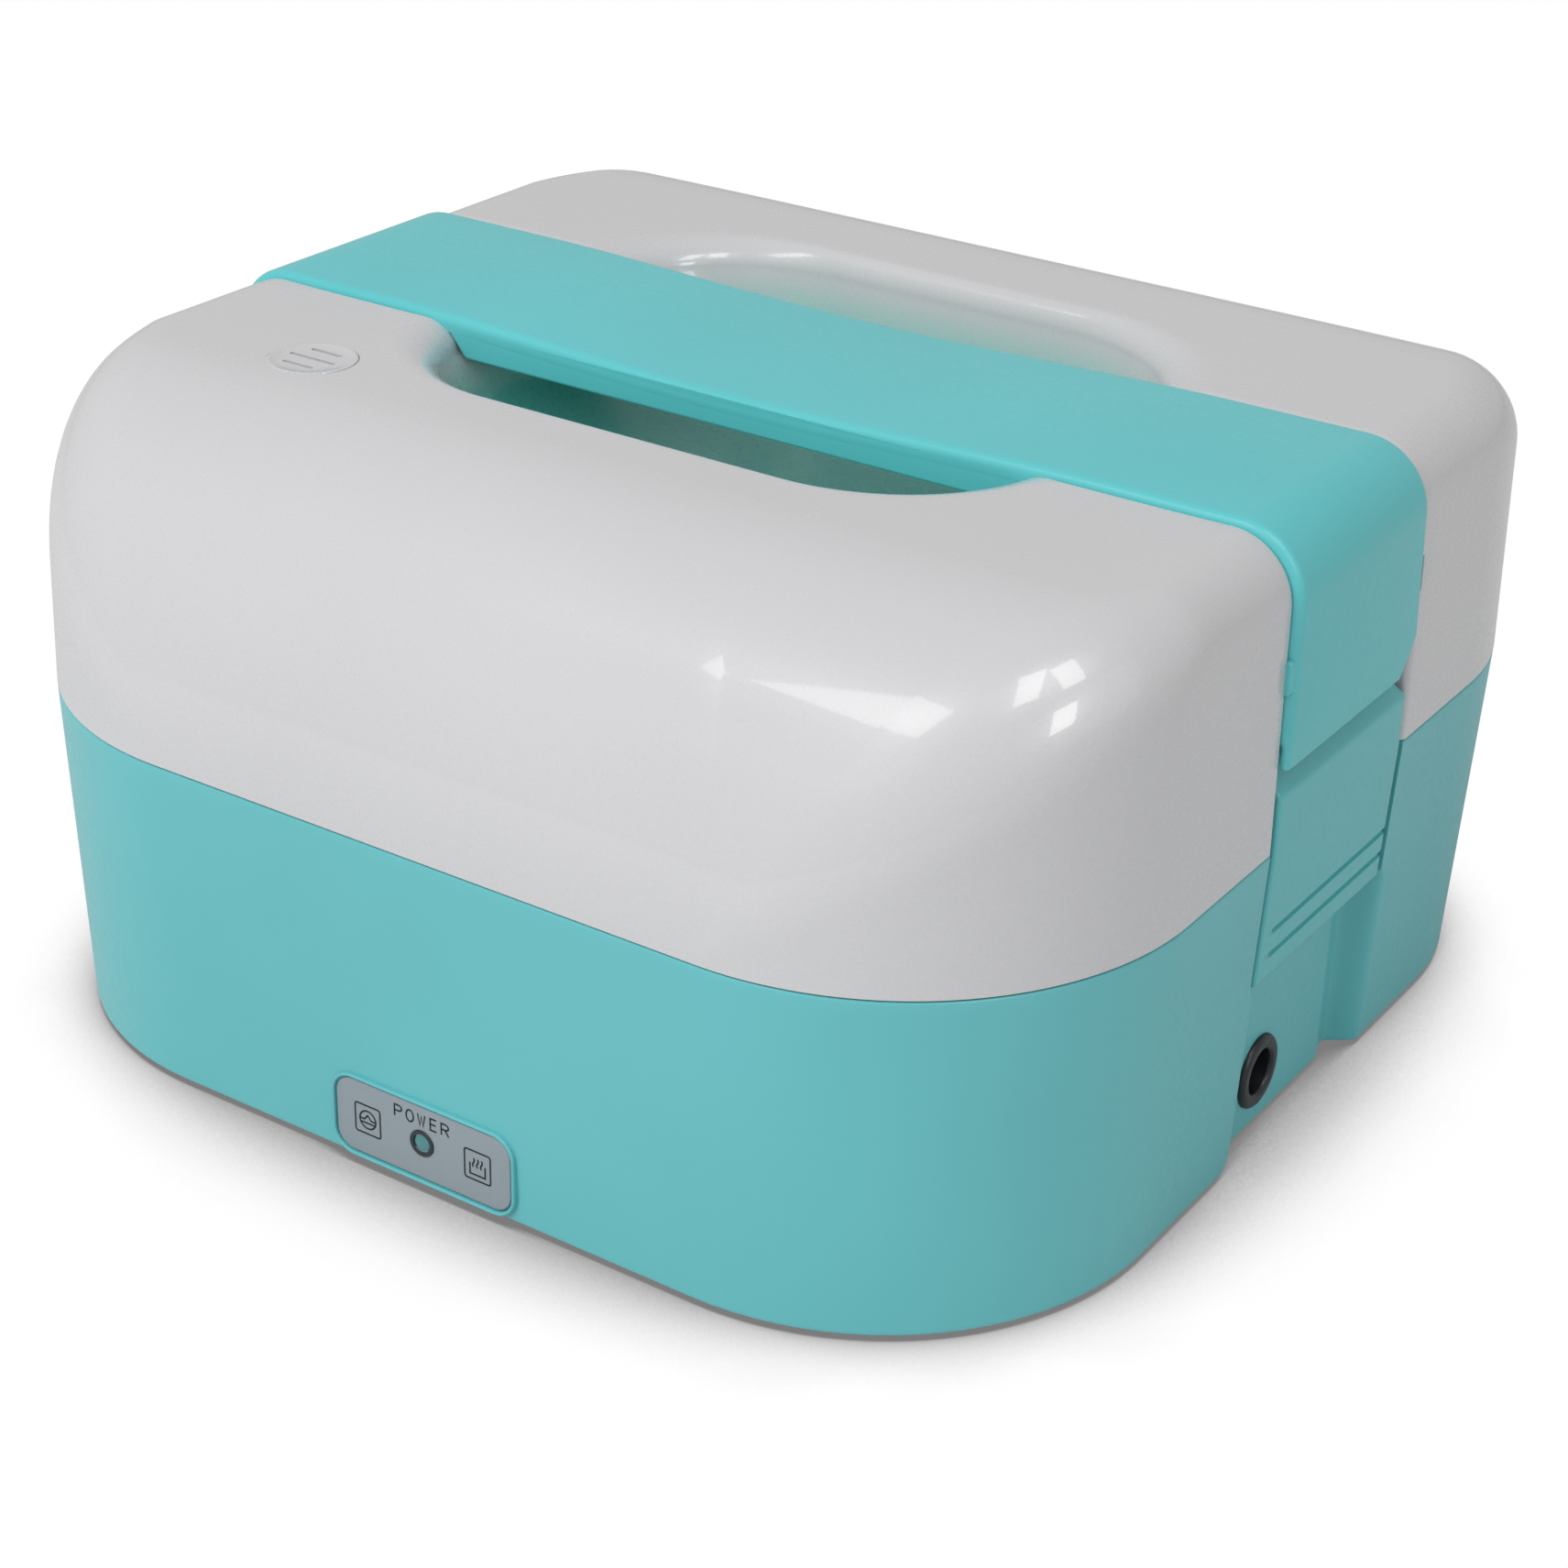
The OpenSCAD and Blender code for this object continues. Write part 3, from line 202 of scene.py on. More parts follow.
def make_piece(name, grids, body, loops=(), mirror=None):
    """A mesh piece from grids of shape (rows, columns, 3) in millimetres.

    Point (i, j) of a grid is joined to (i + 1, j) and (i, j + 1); a name in loops says which grids close on
    themselves along their columns. Coincident points are merged, and every face points outwards.
    """
    points, quads, start = [np.zeros((0, 3))], [np.zeros((0, 4), int)], 0
    for k, grid in enumerate(grids):
        rows, cols = grid.shape[:2]
        index = np.arange(rows * cols).reshape(rows, cols) + start
        if k in loops:
            index = np.concatenate([index, index[:, :1]], axis=1)
        quads.append(np.stack([index[:-1, :-1], index[:-1, 1:], index[1:, 1:], index[1:, :-1]], -1).reshape(-1, 4))
        points.append(grid.reshape(-1, 3))
        start += rows * cols
    return mesh_object(name, np.concatenate(points), np.concatenate(quads), body)


def mesh_object(name, points, quads, body):
    """An object at the origin from points in millimetres and four-cornered faces, merged and smooth."""
    mesh = bpy.data.meshes.new(name)
    mesh.from_pydata((points * MM).tolist(), [], quads.tolist())
    obj = bpy.data.objects.new(name, mesh)
    bpy.context.scene.collection.objects.link(obj)
    tidy(mesh)
    mesh.shade_smooth()
    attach(obj, body)
    return obj


def tidy(mesh, distance=2e-6):
    """Merges coincident points, drops faces without area and turns all faces outwards."""
    work = bmesh.new()
    work.from_mesh(mesh)
    bmesh.ops.remove_doubles(work, verts=work.verts, dist=distance)
    bmesh.ops.dissolve_degenerate(work, edges=work.edges, dist=distance)
    bmesh.ops.recalc_face_normals(work, faces=work.faces)
    work.to_mesh(mesh)
    work.free()


def crease_by_angle(obj, degrees):
    """Edges sharper than this stay sharp in the shading."""
    obj.data.set_sharp_from_angle(angle=np.radians(degrees))


def quarter(steps):
    """(1 - sin, 1 - cos) of a quarter turn in equal steps: how far a rounded edge lies inside its two faces."""
    a = np.linspace(0, RIGHT, steps + 1)
    return 1 - np.sin(a), 1 - np.cos(a)


def rounded_profile(points, radii, steps=6):
    """A closed profile whose corners are rounded: each corner becomes a parabolic arc between its tangents."""
    p = np.asarray(points, float)
    to_prev = np.roll(p, 1, 0) - p
    to_next = np.roll(p, -1, 0) - p
    before = np.linalg.norm(to_prev, axis=1, keepdims=True)
    after = np.linalg.norm(to_next, axis=1, keepdims=True)
    r = np.minimum(np.asarray(radii, float)[:, None], 0.48 * np.minimum(before, after))
    a = p + to_prev / before * r
    b = p + to_next / after * r
    t = np.linspace(0, 1, steps + 1)[None, :, None]
    arc = (1 - t) ** 2 * a[:, None] + 2 * t * (1 - t) * p[:, None] + t ** 2 * b[:, None]
    return arc.reshape(-1, 2)


def profile_normals(profile):
    """Unit normals of a closed counter-clockwise profile, pointing out of it."""
    step = np.roll(profile, -1, 0) - np.roll(profile, 1, 0)
    normal = np.stack([step[:, 1], -step[:, 0]], 1)
    return normal / np.maximum(np.linalg.norm(normal, axis=1, keepdims=True), 1e-9)


def rounded_rectangle(half_w, half_h, corner, steps=10):
    """A rounded rectangle's points and outward normals, corner by corner, in the plane (u, v)."""
    a = np.linspace(0, RIGHT, steps + 1)[None, :] + RIGHT * np.arange(4)[:, None]
    normal = np.stack([np.cos(a), np.sin(a)], -1)
    centre = np.array([[1, 1], [-1, 1], [-1, -1], [1, -1]])[:, None] * np.array([half_w - corner, half_h - corner])
    return (centre + corner * normal).reshape(-1, 2), normal.reshape(-1, 2)


def stacked(points, normals, insets, levels):
    """One ring for each (inset, level): points drawn in along their normals, at that level along w."""
    ring = points[None] - normals[None] * np.asarray(insets, float)[:, None, None]
    level = np.broadcast_to(np.asarray(levels, float)[:, None, None], ring.shape[:2] + (1,))
    return np.concatenate([ring, level], -1)


def turned(profile, steps=64):
    """A surface of revolution about w from a profile of (radius, level): one ring for each of its points."""
    a = np.linspace(0, TURN, steps, endpoint=False)
    r, w = np.asarray(profile, float).T
    return np.stack([r[:, None] * np.cos(a), r[:, None] * np.sin(a), np.broadcast_to(w[:, None], (len(r), steps))], -1)


def soft_step(r0, r1, w, size, steps=4):
    """Profile points that round the edge between a wall at radius r0 and a face at level w towards radius r1."""
    a = np.linspace(0, RIGHT, steps + 1)
    way = np.sign(r1 - r0)
    return [(r0 + way * size * (1 - np.cos(t)), w - size * (1 - np.sin(t))) for t in a]


def aimed(grid, axis, place=(0, 0, 0)):
    """Turns a grid built along w so that w runs along +x, -y or +z, and moves it to place."""
    u, v, w = grid[..., 0], grid[..., 1], grid[..., 2]
    turned_grid = {"+x": (w, u, v), "-y": (u, -w, v), "+z": (u, v, w)}[axis]
    return np.stack(turned_grid, -1) + np.asarray(place, float)


def closed_rows(grid):
    """A grid whose last row meets its first."""
    return np.concatenate([grid, grid[:1]])


def capped(grid):
    """A grid whose first and last rows are drawn together to their middles."""
    ends = [np.repeat(grid[k].mean(0)[None, None], grid.shape[1], 1) for k in (0, -1)]
    return np.concatenate([ends[0], grid, ends[1]])


def ribbon(line, width, low, high):
    """A flat printed line along points (u, v): a strip of the given width between levels low and high, closed."""
    line = np.asarray(line, float)
    ahead = unit(np.diff(line, axis=0))
    side = np.stack([-ahead[:, 1], ahead[:, 0]], -1)
    before, after = np.concatenate([side[:1], side]), np.concatenate([side, side[-1:]])
    mitre = unit(before + after)
    mitre = mitre / np.maximum(np.sum(mitre * after, -1, keepdims=True), 0.5)
    left, right = line + mitre * width / 2, line - mitre * width / 2
    levels = (low, high, high, low)
    edges = (left, left, right, right)
    return capped(np.stack([np.column_stack([e, np.full(len(e), w)]) for e, w in zip(edges, levels)], 1))


def punch(obj, centre, normal, radius, depth, slack=6.0, steps=48):
    """Sinks a round hole with a floor into a flat stretch of a mesh.

    Faces in the plane near the centre go, and the gap between their border and a circle is filled with flat
    triangles. The circle's wall then drops by depth, and a flat disc closes it.
    """
    centre, normal = Vector(centre) * MM, Vector(normal)
    work = bmesh.new()
    work.from_mesh(obj.data)
    near = []
    for face in work.faces:
        away = [(v.co - centre) for v in face.verts]
        flat = all(abs(d.dot(normal)) < 2e-5 for d in away)
        if flat and min(d.length for d in away) < (radius + slack) * MM:
            near.append(face)
    bmesh.ops.delete(work, geom=near, context="FACES_KEEP_BOUNDARY")
    border = [e for e in work.edges if len(e.link_faces) == 1 and all(
        abs((v.co - centre).dot(normal)) < 2e-5 for v in e.verts)]
    loose = [v for v in work.verts if not v.link_faces]
    bmesh.ops.delete(work, geom=loose, context="VERTS")
    across = normal.orthogonal().normalized()
    other = normal.cross(across)
    turn = [TURN * k / steps for k in range(steps)]
    rings = []
    for drop in (0.0, depth):
        rings.append([work.verts.new(centre + (across * np.cos(t) + other * np.sin(t)) * radius * MM
                                     - normal * drop * MM) for t in turn])
    circle = [work.edges.new((rings[0][k], rings[0][(k + 1) % steps])) for k in range(steps)]
    bmesh.ops.triangle_fill(work, edges=border + circle, use_beauty=True, normal=normal)
    for k in range(steps):
        n = (k + 1) % steps
        work.faces.new((rings[0][k], rings[0][n], rings[1][n], rings[1][k]))
    work.faces.new(rings[1])
    bmesh.ops.recalc_face_normals(work, faces=work.faces)
    for face in work.faces:
        face.smooth = True
    work.to_mesh(obj.data)
    work.free()


# base

def base_side(z, s, columns):
    """The base's +X side at heights z: (x inside the outer face, y) for each column, as arrays (rows, columns).

    Below the latch the side holds the finger pocket: a steep front wall, a flat floor, a deeper back part and a
    rounded rise to the outer face. Above, it holds the latch channel with two steep walls. Between the two levels one slides into
    the other.
    """
    t = np.clip((z - (s.pocket_top - 1.3)) / 2.6, 0, 1)[:, None]
    outer = (s.low_half_w + (s.half_w - s.low_half_w) * (z - s.floor_z) / (s.seam_z - s.floor_z))[:, None]
    depth = outer - s.floor_x
    toe = np.clip(4 - (z - s.floor_z), 0, 4)[:, None]
    toe = 4 - np.sqrt(16 - toe ** 2)
    front = (s.pocket_front - toe) * (1 - t) - s.channel * t
    soft = 1.3 * (1 - t) + 0.7 * t
    a = np.linspace(0, RIGHT, 6)[None, :]
    y_front = np.concatenate([front - soft + soft * np.sin(a), np.repeat(front, 2, 1) + 0 * a[:, :2],
                              front + 0.5 * (1 - np.cos(a[:, ::2]))], 1)
    x_front = np.concatenate([soft * (1 - np.cos(a)), depth * np.array([[0.45, 0.75]]),
                              depth - 0.5 * (1 - np.sin(a[:, ::2]))], 1)
    floor_y = np.linspace(0, 1, 9)[None, 1:-1]
    y_floor = (front + 1) + (s.pocket_ramp * (1 - t) + (s.channel - 1.5) * t - front - 1) * floor_y
    x_floor = np.repeat(depth, floor_y.shape[1], 1)
    q = np.linspace(0, 1, 17)[None, :]
    rise = np.clip((q - 0.55) / 0.42, 0, 1)
    y_ramp = s.pocket_ramp + (s.pocket_back + 1.5 - s.pocket_ramp) * q
    x_ramp = (depth + s.pocket_step * np.clip(q / 0.12, 0, 1)) * (1 - rise ** 2 * (3 - 2 * rise))
    b = np.clip((q - 0.25) / 0.5, 0, 1)
    y_wall = s.channel - 1.0 + np.where(q < 0.25, q * 4, np.where(q > 0.75, 1 + (q - 0.75) * 4 * 0.7, 1.0))
    x_wall = depth * (1 - b)
    y_back = y_ramp * (1 - t) + y_wall * t
    x_back = x_ramp * (1 - t) + x_wall * t
    y = np.concatenate([y_front, y_floor, y_back], 1)
    x = np.concatenate([x_front, x_floor, x_back], 1)
    straight = np.linspace(0, 1, columns)[None, :-1]
    edge = (s.half_d - s.corner) + 0 * front
    y_lead = -edge + (y[:, :1] + edge) * straight
    y_tail = y[:, -1:] + (edge - y[:, -1:]) * np.linspace(0, 1, columns)[None, 1:]
    y = np.concatenate([y_lead, y, y_tail], 1)
    x = np.concatenate([0 * y_lead, x, 0 * y_tail], 1)
    return x, y


def base_loops(z, inset, s, columns=5, arc_steps=22):
    """Closed outlines of the base at heights z, each drawn in by inset: array (rows, columns, 3).

    The outline is a rounded rectangle that grows linearly with z. Its four corners are quarter circles; its
    two sides carry the profile of base_side and its mirror image.
    """
    k = ((z - s.floor_z) / (s.seam_z - s.floor_z))[:, None]
    e = inset[:, None]
    hw = s.low_half_w + (s.half_w - s.low_half_w) * k
    hd = s.low_half_d + (s.half_d - s.low_half_d) * k
    r = s.low_corner + (s.corner - s.low_corner) * k
    side_x, side_y = base_side(z, s, columns)
    side_y = side_y * (hd - r) / (s.half_d - s.corner)
    right = np.stack([hw - side_x - e, side_y], -1)
    a = np.linspace(0, RIGHT, arc_steps + 1)[None, 1:-1]
    front_right = np.stack([hw - r + (r - e) * np.sin(a), -(hd - r) - (r - e) * np.cos(a)], -1)
    flat = np.linspace(-1, 1, 13)[None, :]
    front = np.stack([(hw - r) * flat, -(hd - e) + 0 * flat], -1)
    flip_x, flip_y = np.array([-1, 1]), np.array([1, -1])
    back_right = (front_right * flip_y)[:, ::-1]
    loop = np.concatenate([front, front_right, right, back_right, (front * flip_y)[:, ::-1],
                           back_right[:, ::-1] * flip_x, right[:, ::-1] * flip_x, front_right[:, ::-1] * flip_x], 1)
    return np.concatenate([loop, np.broadcast_to(z[:, None, None], loop.shape[:2] + (1,))], -1)


def square_loops(like, half, corner, z, s):
    """Rounded squares with the same columns as the outline like, one for each (half, corner, z)."""
    half, corner, z = (np.asarray(v, float)[:, None] for v in (half, corner, z))
    flat_w, flat_d = s.half_w - s.corner, s.half_d - s.corner
    x, y = like[None, :, 0], like[None, :, 1]
    cx, cy = np.clip(x, -flat_w, flat_w), np.clip(y, -flat_d, flat_d)
    nx, ny = x - cx, y - cy
    side = np.abs(cy) < flat_d - 1e-6
    nx = np.where(side, np.sign(x), nx)
    ny = np.where(side, 0, ny)
    cx = np.where(side, np.sign(x) * flat_w, cx)
    size = np.maximum(np.hypot(nx, ny), 1e-9)
    flat = half - corner
    px = cx / flat_w * flat + corner * nx / size
    py = cy / flat_d * flat + corner * ny / size
    return np.stack([px, py, np.broadcast_to(z, px.shape)], -1)


def base_surface(s):
    """The base as one closed surface: underside, rounded bottom edge, drafted walls with pockets and channels,
    rounded rim, the seat of the well, and the inside down to the floor."""
    low_in, low_up = quarter(4)
    wall = np.unique(np.concatenate([np.linspace(s.floor_z + s.edge, s.floor_z + 5, 8),
                                     np.linspace(s.floor_z + 5, s.pocket_top - 2, 12),
                                     np.linspace(s.pocket_top - 2, s.pocket_top + 2, 7),
                                     np.linspace(s.pocket_top + 2, s.seam_z - s.seam_gap / 2 - s.edge, 12)]))
    top = s.seam_z - s.seam_gap / 2
    z = np.concatenate([s.floor_z + s.edge * low_up, wall[1:], top - s.edge * (1 - np.sin(np.linspace(0, RIGHT, 5)[1:]))])
    inset = np.concatenate([s.edge * low_in, 0 * wall[1:], s.edge * (1 - np.cos(np.linspace(0, RIGHT, 5)[1:]))])
    shell = base_loops(z, inset, s)
    under = shell[0][None] * np.array([1, 1, 0])[None, None] * np.array([0.0, 0.5, 0.8, 0.94])[:, None, None]
    under[..., 2] = s.floor_z
    inner = square_loops(shell[-1], [108.6, 108.6, 104, 104, 104, 70, 0], [50.3, 50.3, 48, 48, 48, 30, 0],
                         [top, 65.8, 65.8, 62, 4.6, 4.6, 4.6], s)
    return np.concatenate([under, shell, inner])


def plate_frame(f, s):
    """The raised frame round the indicator plate: a ring whose front edges are rounded, set into the wall."""
    seat = -f.seat_y
    front = -f.frame_y
    grow = f.frame_grow
    w = f.plate_w / 2 + grow
    h = f.plate_h / 2 + grow
    points, normals = rounded_rectangle(w, h, f.plate_r + grow)
    a = np.linspace(0, RIGHT, 5)
    r = 0.35
    width = grow - f.frame_gap
    insets = np.concatenate([[0, 0], r * (1 - np.cos(a)), (width - r) + r * np.sin(a), [width]])
    levels = np.concatenate([[seat - 1, seat], front - r + r * np.sin(a), front - r + r * np.cos(a), [seat - 1]])
    return aimed(closed_rows(stacked(points, normals, insets, levels)), "-y", (0, 0, f.plate_z))


# lid

def over(y, s, grow=0.0):
    """How far y lies into the big round: 0 on the flat top, 1 at the front or back face."""
    return np.maximum(np.abs(y) - (s.half_d - s.reach), 0) / (s.reach - grow)


def top_height(y, s):
    """Height of the lid's top: flat in the middle, then a quarter of an ellipse down to the front and back."""
    return s.top_z - s.drop + s.drop * np.sqrt(np.maximum(1 - over(y, s) ** 2, 0))


def unit(v):
    return v / np.maximum(np.linalg.norm(v, axis=-1, keepdims=True), 1e-12)


def swing(a, b, t):
    """Unit vectors between unit vectors a and b: turned evenly from a at t = 0 to b at t = 1."""
    w = np.arccos(np.clip(np.sum(a * b, -1, keepdims=True), -1, 1))
    near = w < 1e-3
    w = np.where(near, 1.0, w)
    return np.where(near, a, (np.sin((1 - t) * w) * a + np.sin(t * w) * b) / np.sin(w))


def lean(p, s):
    """Draws points in towards the axis in proportion to their height above the seam."""
    k = 1 - s.lean / s.half_w * (p[..., 2:] - s.seam_z) / (s.top_z - s.seam_z)
    return np.concatenate([p[..., :2] * k, p[..., 2:]], -1)


def roll_centres(line, normal, s):
    """Centres, radii and upper normals of the ball that rolls along the lid's edge, touching wall and top."""
    roll = s.roll_side + (s.roll_front - s.roll_side) * np.abs(normal[:, 1])
    centre = line - roll[:, None] * normal
    o = np.maximum(np.abs(centre[:, 1]) - (s.half_d - s.reach), 0) / (s.reach - roll)
    o = np.minimum(o, 0.9995)
    k = np.sqrt(1 - o ** 2)
    z = s.top_z - s.drop + (s.drop - roll) * k
    up = unit(np.stack([0 * o, np.sign(centre[:, 1]) * o / (s.reach - roll), k / (s.drop - roll)], -1))
    return np.concatenate([centre, z[:, None]], -1), roll, up


def half_outline(s, y_start, side_steps=8, arc_steps=44, front_steps=22):
    """The front half of the seam's outline from (+X, y_start) round the front to (-X, y_start), with normals."""
    fw, fd = s.half_w - s.corner, s.half_d - s.corner
    side = np.linspace(y_start, -fd, side_steps)[:-1]
    a = np.linspace(0, RIGHT, arc_steps + 1)
    flat = np.linspace(fw, 0, front_steps // 2 + 1)[1:]
    x = np.concatenate([s.half_w + 0 * side, fw + s.corner * np.cos(a), flat])
    y = np.concatenate([side, -fd - s.corner * np.sin(a), -s.half_d + 0 * flat])
    nx = np.concatenate([1 + 0 * side, np.cos(a), 0 * flat])
    ny = np.concatenate([0 * side, -np.sin(a), -1 + 0 * flat])
    line = np.stack([x, y], -1)
    normal = np.stack([nx, ny], -1)
    flip = np.array([-1, 1])
    return np.concatenate([line, line[-2::-1] * flip]), np.concatenate([normal, normal[-2::-1] * flip])


BOWL_HALF = np.array([72.5, 56.5])
BOWL_CORNER = 38.0
BOWL_LIP = np.array([9.6, 3.6, 3.0, 5.8])
BOWL_WALL = np.array([13.0, 6.0, 4.5, 12.0])
BOWL_FLOOR = np.array([72.5, 56.5, 38.0, 30.0])


def bowl_rows(lip_steps=8, floor_steps=12):
    """Rows of (inset along X, inset along Y, loss of corner radius, depth) from the bowl's lip to its middle.

    The lip is a quarter ellipse: insets grow with the sine, the depth with one minus the cosine. Below the
    steep wall a second quarter ellipse leads to the floor: insets with one minus the cosine, depth with the sine.
    """
    a = np.linspace(0, RIGHT, lip_steps + 1)[:, None]
    b = np.linspace(0, RIGHT, floor_steps + 1)[:, None]
    lip = np.concatenate([np.sin(a) * BOWL_LIP[:3], (1 - np.cos(a)) * BOWL_LIP[3:]], 1)
    bend = 1 - np.cos(b)
    spread = BOWL_WALL[:3] + (np.array([56.0, 44.0, 26.0]) - BOWL_WALL[:3]) * bend
    floor = np.concatenate([spread, BOWL_WALL[3:] + (BOWL_FLOOR[3:] - BOWL_WALL[3:]) * np.sin(b)], 1)
    return np.concatenate([lip, floor, BOWL_FLOOR[None]])


def bowl_lip_scale(direction):
    """Where a ray from the middle along direction (x, y) meets the bowl's lip, by bisection on all rays at once."""
    low, high = np.zeros(len(direction)), np.full(len(direction), 1.0)
    reach = BOWL_HALF - BOWL_CORNER
    for _ in range(40):
        mid = (low + high) / 2
        q = np.maximum(np.abs(direction * mid[:, None]) - reach, 0)
        inside = np.hypot(q[:, 0], q[:, 1]) < BOWL_CORNER
        low, high = np.where(inside, mid, low), np.where(inside, high, mid)
    return low


def bowl_surface(loop, s):
    """The bowl's rows below its lip: each row is a rounded rectangle whose points keep the loop's columns.

    No row rises over the loop, so the bowl's edge dips where the strap's channel crosses it.
    """
    lip = loop[:, :2]
    flat = BOWL_HALF - BOWL_CORNER
    core = np.clip(lip, -flat, flat)
    normal = unit(lip - core)
    rows = bowl_rows()
    hx = BOWL_HALF[0] - rows[:, 0]
    hy = BOWL_HALF[1] - rows[:, 1]
    r = BOWL_CORNER - rows[:, 2]
    size = np.stack([hx - r, hy - r], -1)[:, None]
    reach = np.minimum(r[:, None], np.linalg.norm(lip - core, axis=1)[None])
    xy = core[None] / flat * size + reach[..., None] * normal[None]
    z = np.minimum((s.top_z - rows[:, 3])[:, None], loop[None, :, 2])
    return np.concatenate([loop[None], np.concatenate([xy, z[..., None]], -1)[1:]])


def lid_half(s):
    """One half of the white shell outside strap channel and bowl: grid of rows from the seam inwards.

    Walls rise with a slight lean, a ball of growing radius rolls their edge over, and the top follows its big
    round until each column meets the strap channel's lip or the bowl's lip.
    """
    y_lip = -(s.channel + s.lip)
    line, normal = half_outline(s, y_lip)
    centre, roll, up = roll_centres(line, normal, s)
    flat_normal = np.concatenate([normal, 0 * normal[:, :1]], -1)
    low = s.seam_z + s.seam_gap / 2
    rise = s.top_z - s.roll_side - low
    notch = (np.array([s.notch_z - 0.1, s.notch_z + 0.1, s.notch_top - 0.1, s.notch_top + 0.1]) - low) / rise
    h = np.sort(np.concatenate([np.linspace(0, 1, 9), notch]))[:, None]
    walls = np.concatenate([np.broadcast_to(line, (len(h),) + line.shape),
                            (low + (np.maximum(centre[:, 2], low) - low) * h)[..., None]], -1)
    ease = np.linspace(0, 1, 15)[1:, None, None]
    rolls = centre[None] + roll[None, :, None] * swing(flat_normal[None], up[None], ease)
    shell = lean(np.concatenate([walls, rolls]), s)
    edge = shell[-1]
    edge[[0, -1], 2] = top_height(edge[[0, -1], 1], s)
    lip = bowl_lip_scale(edge[:, :2])
    channel = np.abs(y_lip) / np.maximum(np.abs(edge[:, 1]), np.abs(y_lip))
    end = edge[:, :2] * np.minimum(np.maximum(lip, channel), 1)[:, None]
    to_bowl = lip >= channel
    meet = BOWL_CORNER ** 2 - (np.abs(y_lip) - (BOWL_HALF[1] - BOWL_CORNER)) ** 2
    for k in np.flatnonzero(to_bowl)[[0, -1]]:
        end[k] = np.sign(edge[k, 0]) * (BOWL_HALF[0] - BOWL_CORNER + np.sqrt(meet)), y_lip
    phi = np.linspace(RIGHT, 0, 34)[1:]
    bend = (s.half_d - s.reach + s.reach * np.cos(RIGHT - phi)) / s.half_d
    last = BOWL_HALF[1] / s.half_d
    weight = np.concatenate([(1 - bend) / (1 - last), np.linspace((1 - bend[-1]) / (1 - last), 1, 9)[1:]])[:, None]
    xy = edge[None, :, :2] + (end - edge[:, :2])[None] * weight[..., None]
    rest = (edge[:, 2] - top_height(edge[:, 1], s))[None] * (1 - weight) ** 4
    top = np.concatenate([xy, (top_height(xy[..., 1], s) + rest)[..., None]], -1)
    return np.concatenate([shell, top]), to_bowl


def channel_strip(border, inward, depth, width, fall):
    """From the lip's border over an elliptic edge down the channel's wall: rows across, columns along the border.

    The edge is a quarter ellipse of the given width along Y and fall into the lid; the wall goes on to depth.
    """
    a = np.linspace(0, RIGHT, 9)[:, None, None]
    along = np.array([0, 1, 0])[None, None]
    lip = border[None] + width[None, :, None] * np.sin(a) * along + (fall[None, :, None] * (1 - np.cos(a))) * inward[None]
    wall = lip[-1][None] + (depth - fall)[None, :, None] * np.linspace(0, 1, 5)[1:, None, None] * inward[None]
    return np.concatenate([lip, wall])


def half_strip(half, first, s, at_back):
    """The channel strip along one half's border, from the seam up the side and over the top to the bowl."""
    border = np.concatenate([half[:, 0], half[-1, 1:first + 1]])
    border = border[np.append(True, np.linalg.norm(np.diff(border, axis=0), axis=1) > 1e-4)]
    step = np.gradient(border, axis=0)
    inward = unit(np.stack([-step[:, 2], 0 * step[:, 1], step[:, 0]], -1))
    z = border[:, 2]
    depth = np.where(z < s.pocket_z, border[:, 0] - s.pocket_x, s.strap_depth)
    rise = np.clip((z - s.strap_end) / (s.top_z - s.roll_side - s.strap_end), 0, 1)
    width = s.lip_low + (s.lip_high - s.lip_low) * rise if at_back else s.lip + 0 * z
    fall = np.minimum(width, 0.7 * depth)
    in_notch = (z > s.notch_z) & (z < s.notch_top)
    width = np.where(in_notch, 0.04, width)
    return channel_strip(border, inward, depth, width, np.where(in_notch, 0.1, fall))


def lid_surfaces(s):
    """All grids of the lid: two halves, four channel lips with floors between them, and the bowl."""
    back_s = SimpleNamespace(**{**vars(s), "reach": s.back_reach, "roll_front": s.roll_back})
    mirror = np.array([1, -1, 1])
    front, front_bowl = lid_half(s)
    back, back_bowl = lid_half(back_s)
    grids = [front, back * mirror]
    low = half_strip(front, int(np.argmax(front_bowl)), s, False)
    high = half_strip(back, int(np.argmax(back_bowl)), s, True) * mirror
    count = max(low.shape[1], high.shape[1])
    low, high = (np.concatenate([g, np.repeat(g[:, -1:], count - g.shape[1], 1)], 1) for g in (low, high))
    t = np.linspace(0, 1, 9)[:, None, None]
    floor = low[-1][None] * (1 - t) + high[-1][None] * t
    for sx in (1, -1):
        flip = np.array([sx, 1, 1])
        grids += [low * flip, high * flip, floor * flip]
    bridge = np.concatenate([low[:, -1], floor[1:-1, -1], high[::-1, -1]])[1:-1]
    lips = [g[-1, at] for g, at in ((front, front_bowl), (back * mirror, back_bowl))]
    loop = np.concatenate([lips[0], bridge * np.array([-1, 1, 1]), lips[1][::-1], bridge[::-1]])
    foot = np.concatenate([low[:, 0], floor[1:-1, 0], high[::-1, 0]])[1:-1]
    seam = np.concatenate([front[0], foot * np.array([-1, 1, 1]), (back * mirror)[0][::-1], foot[::-1]])
    return grids, bowl_surface(loop, s), lid_inside(seam, s)


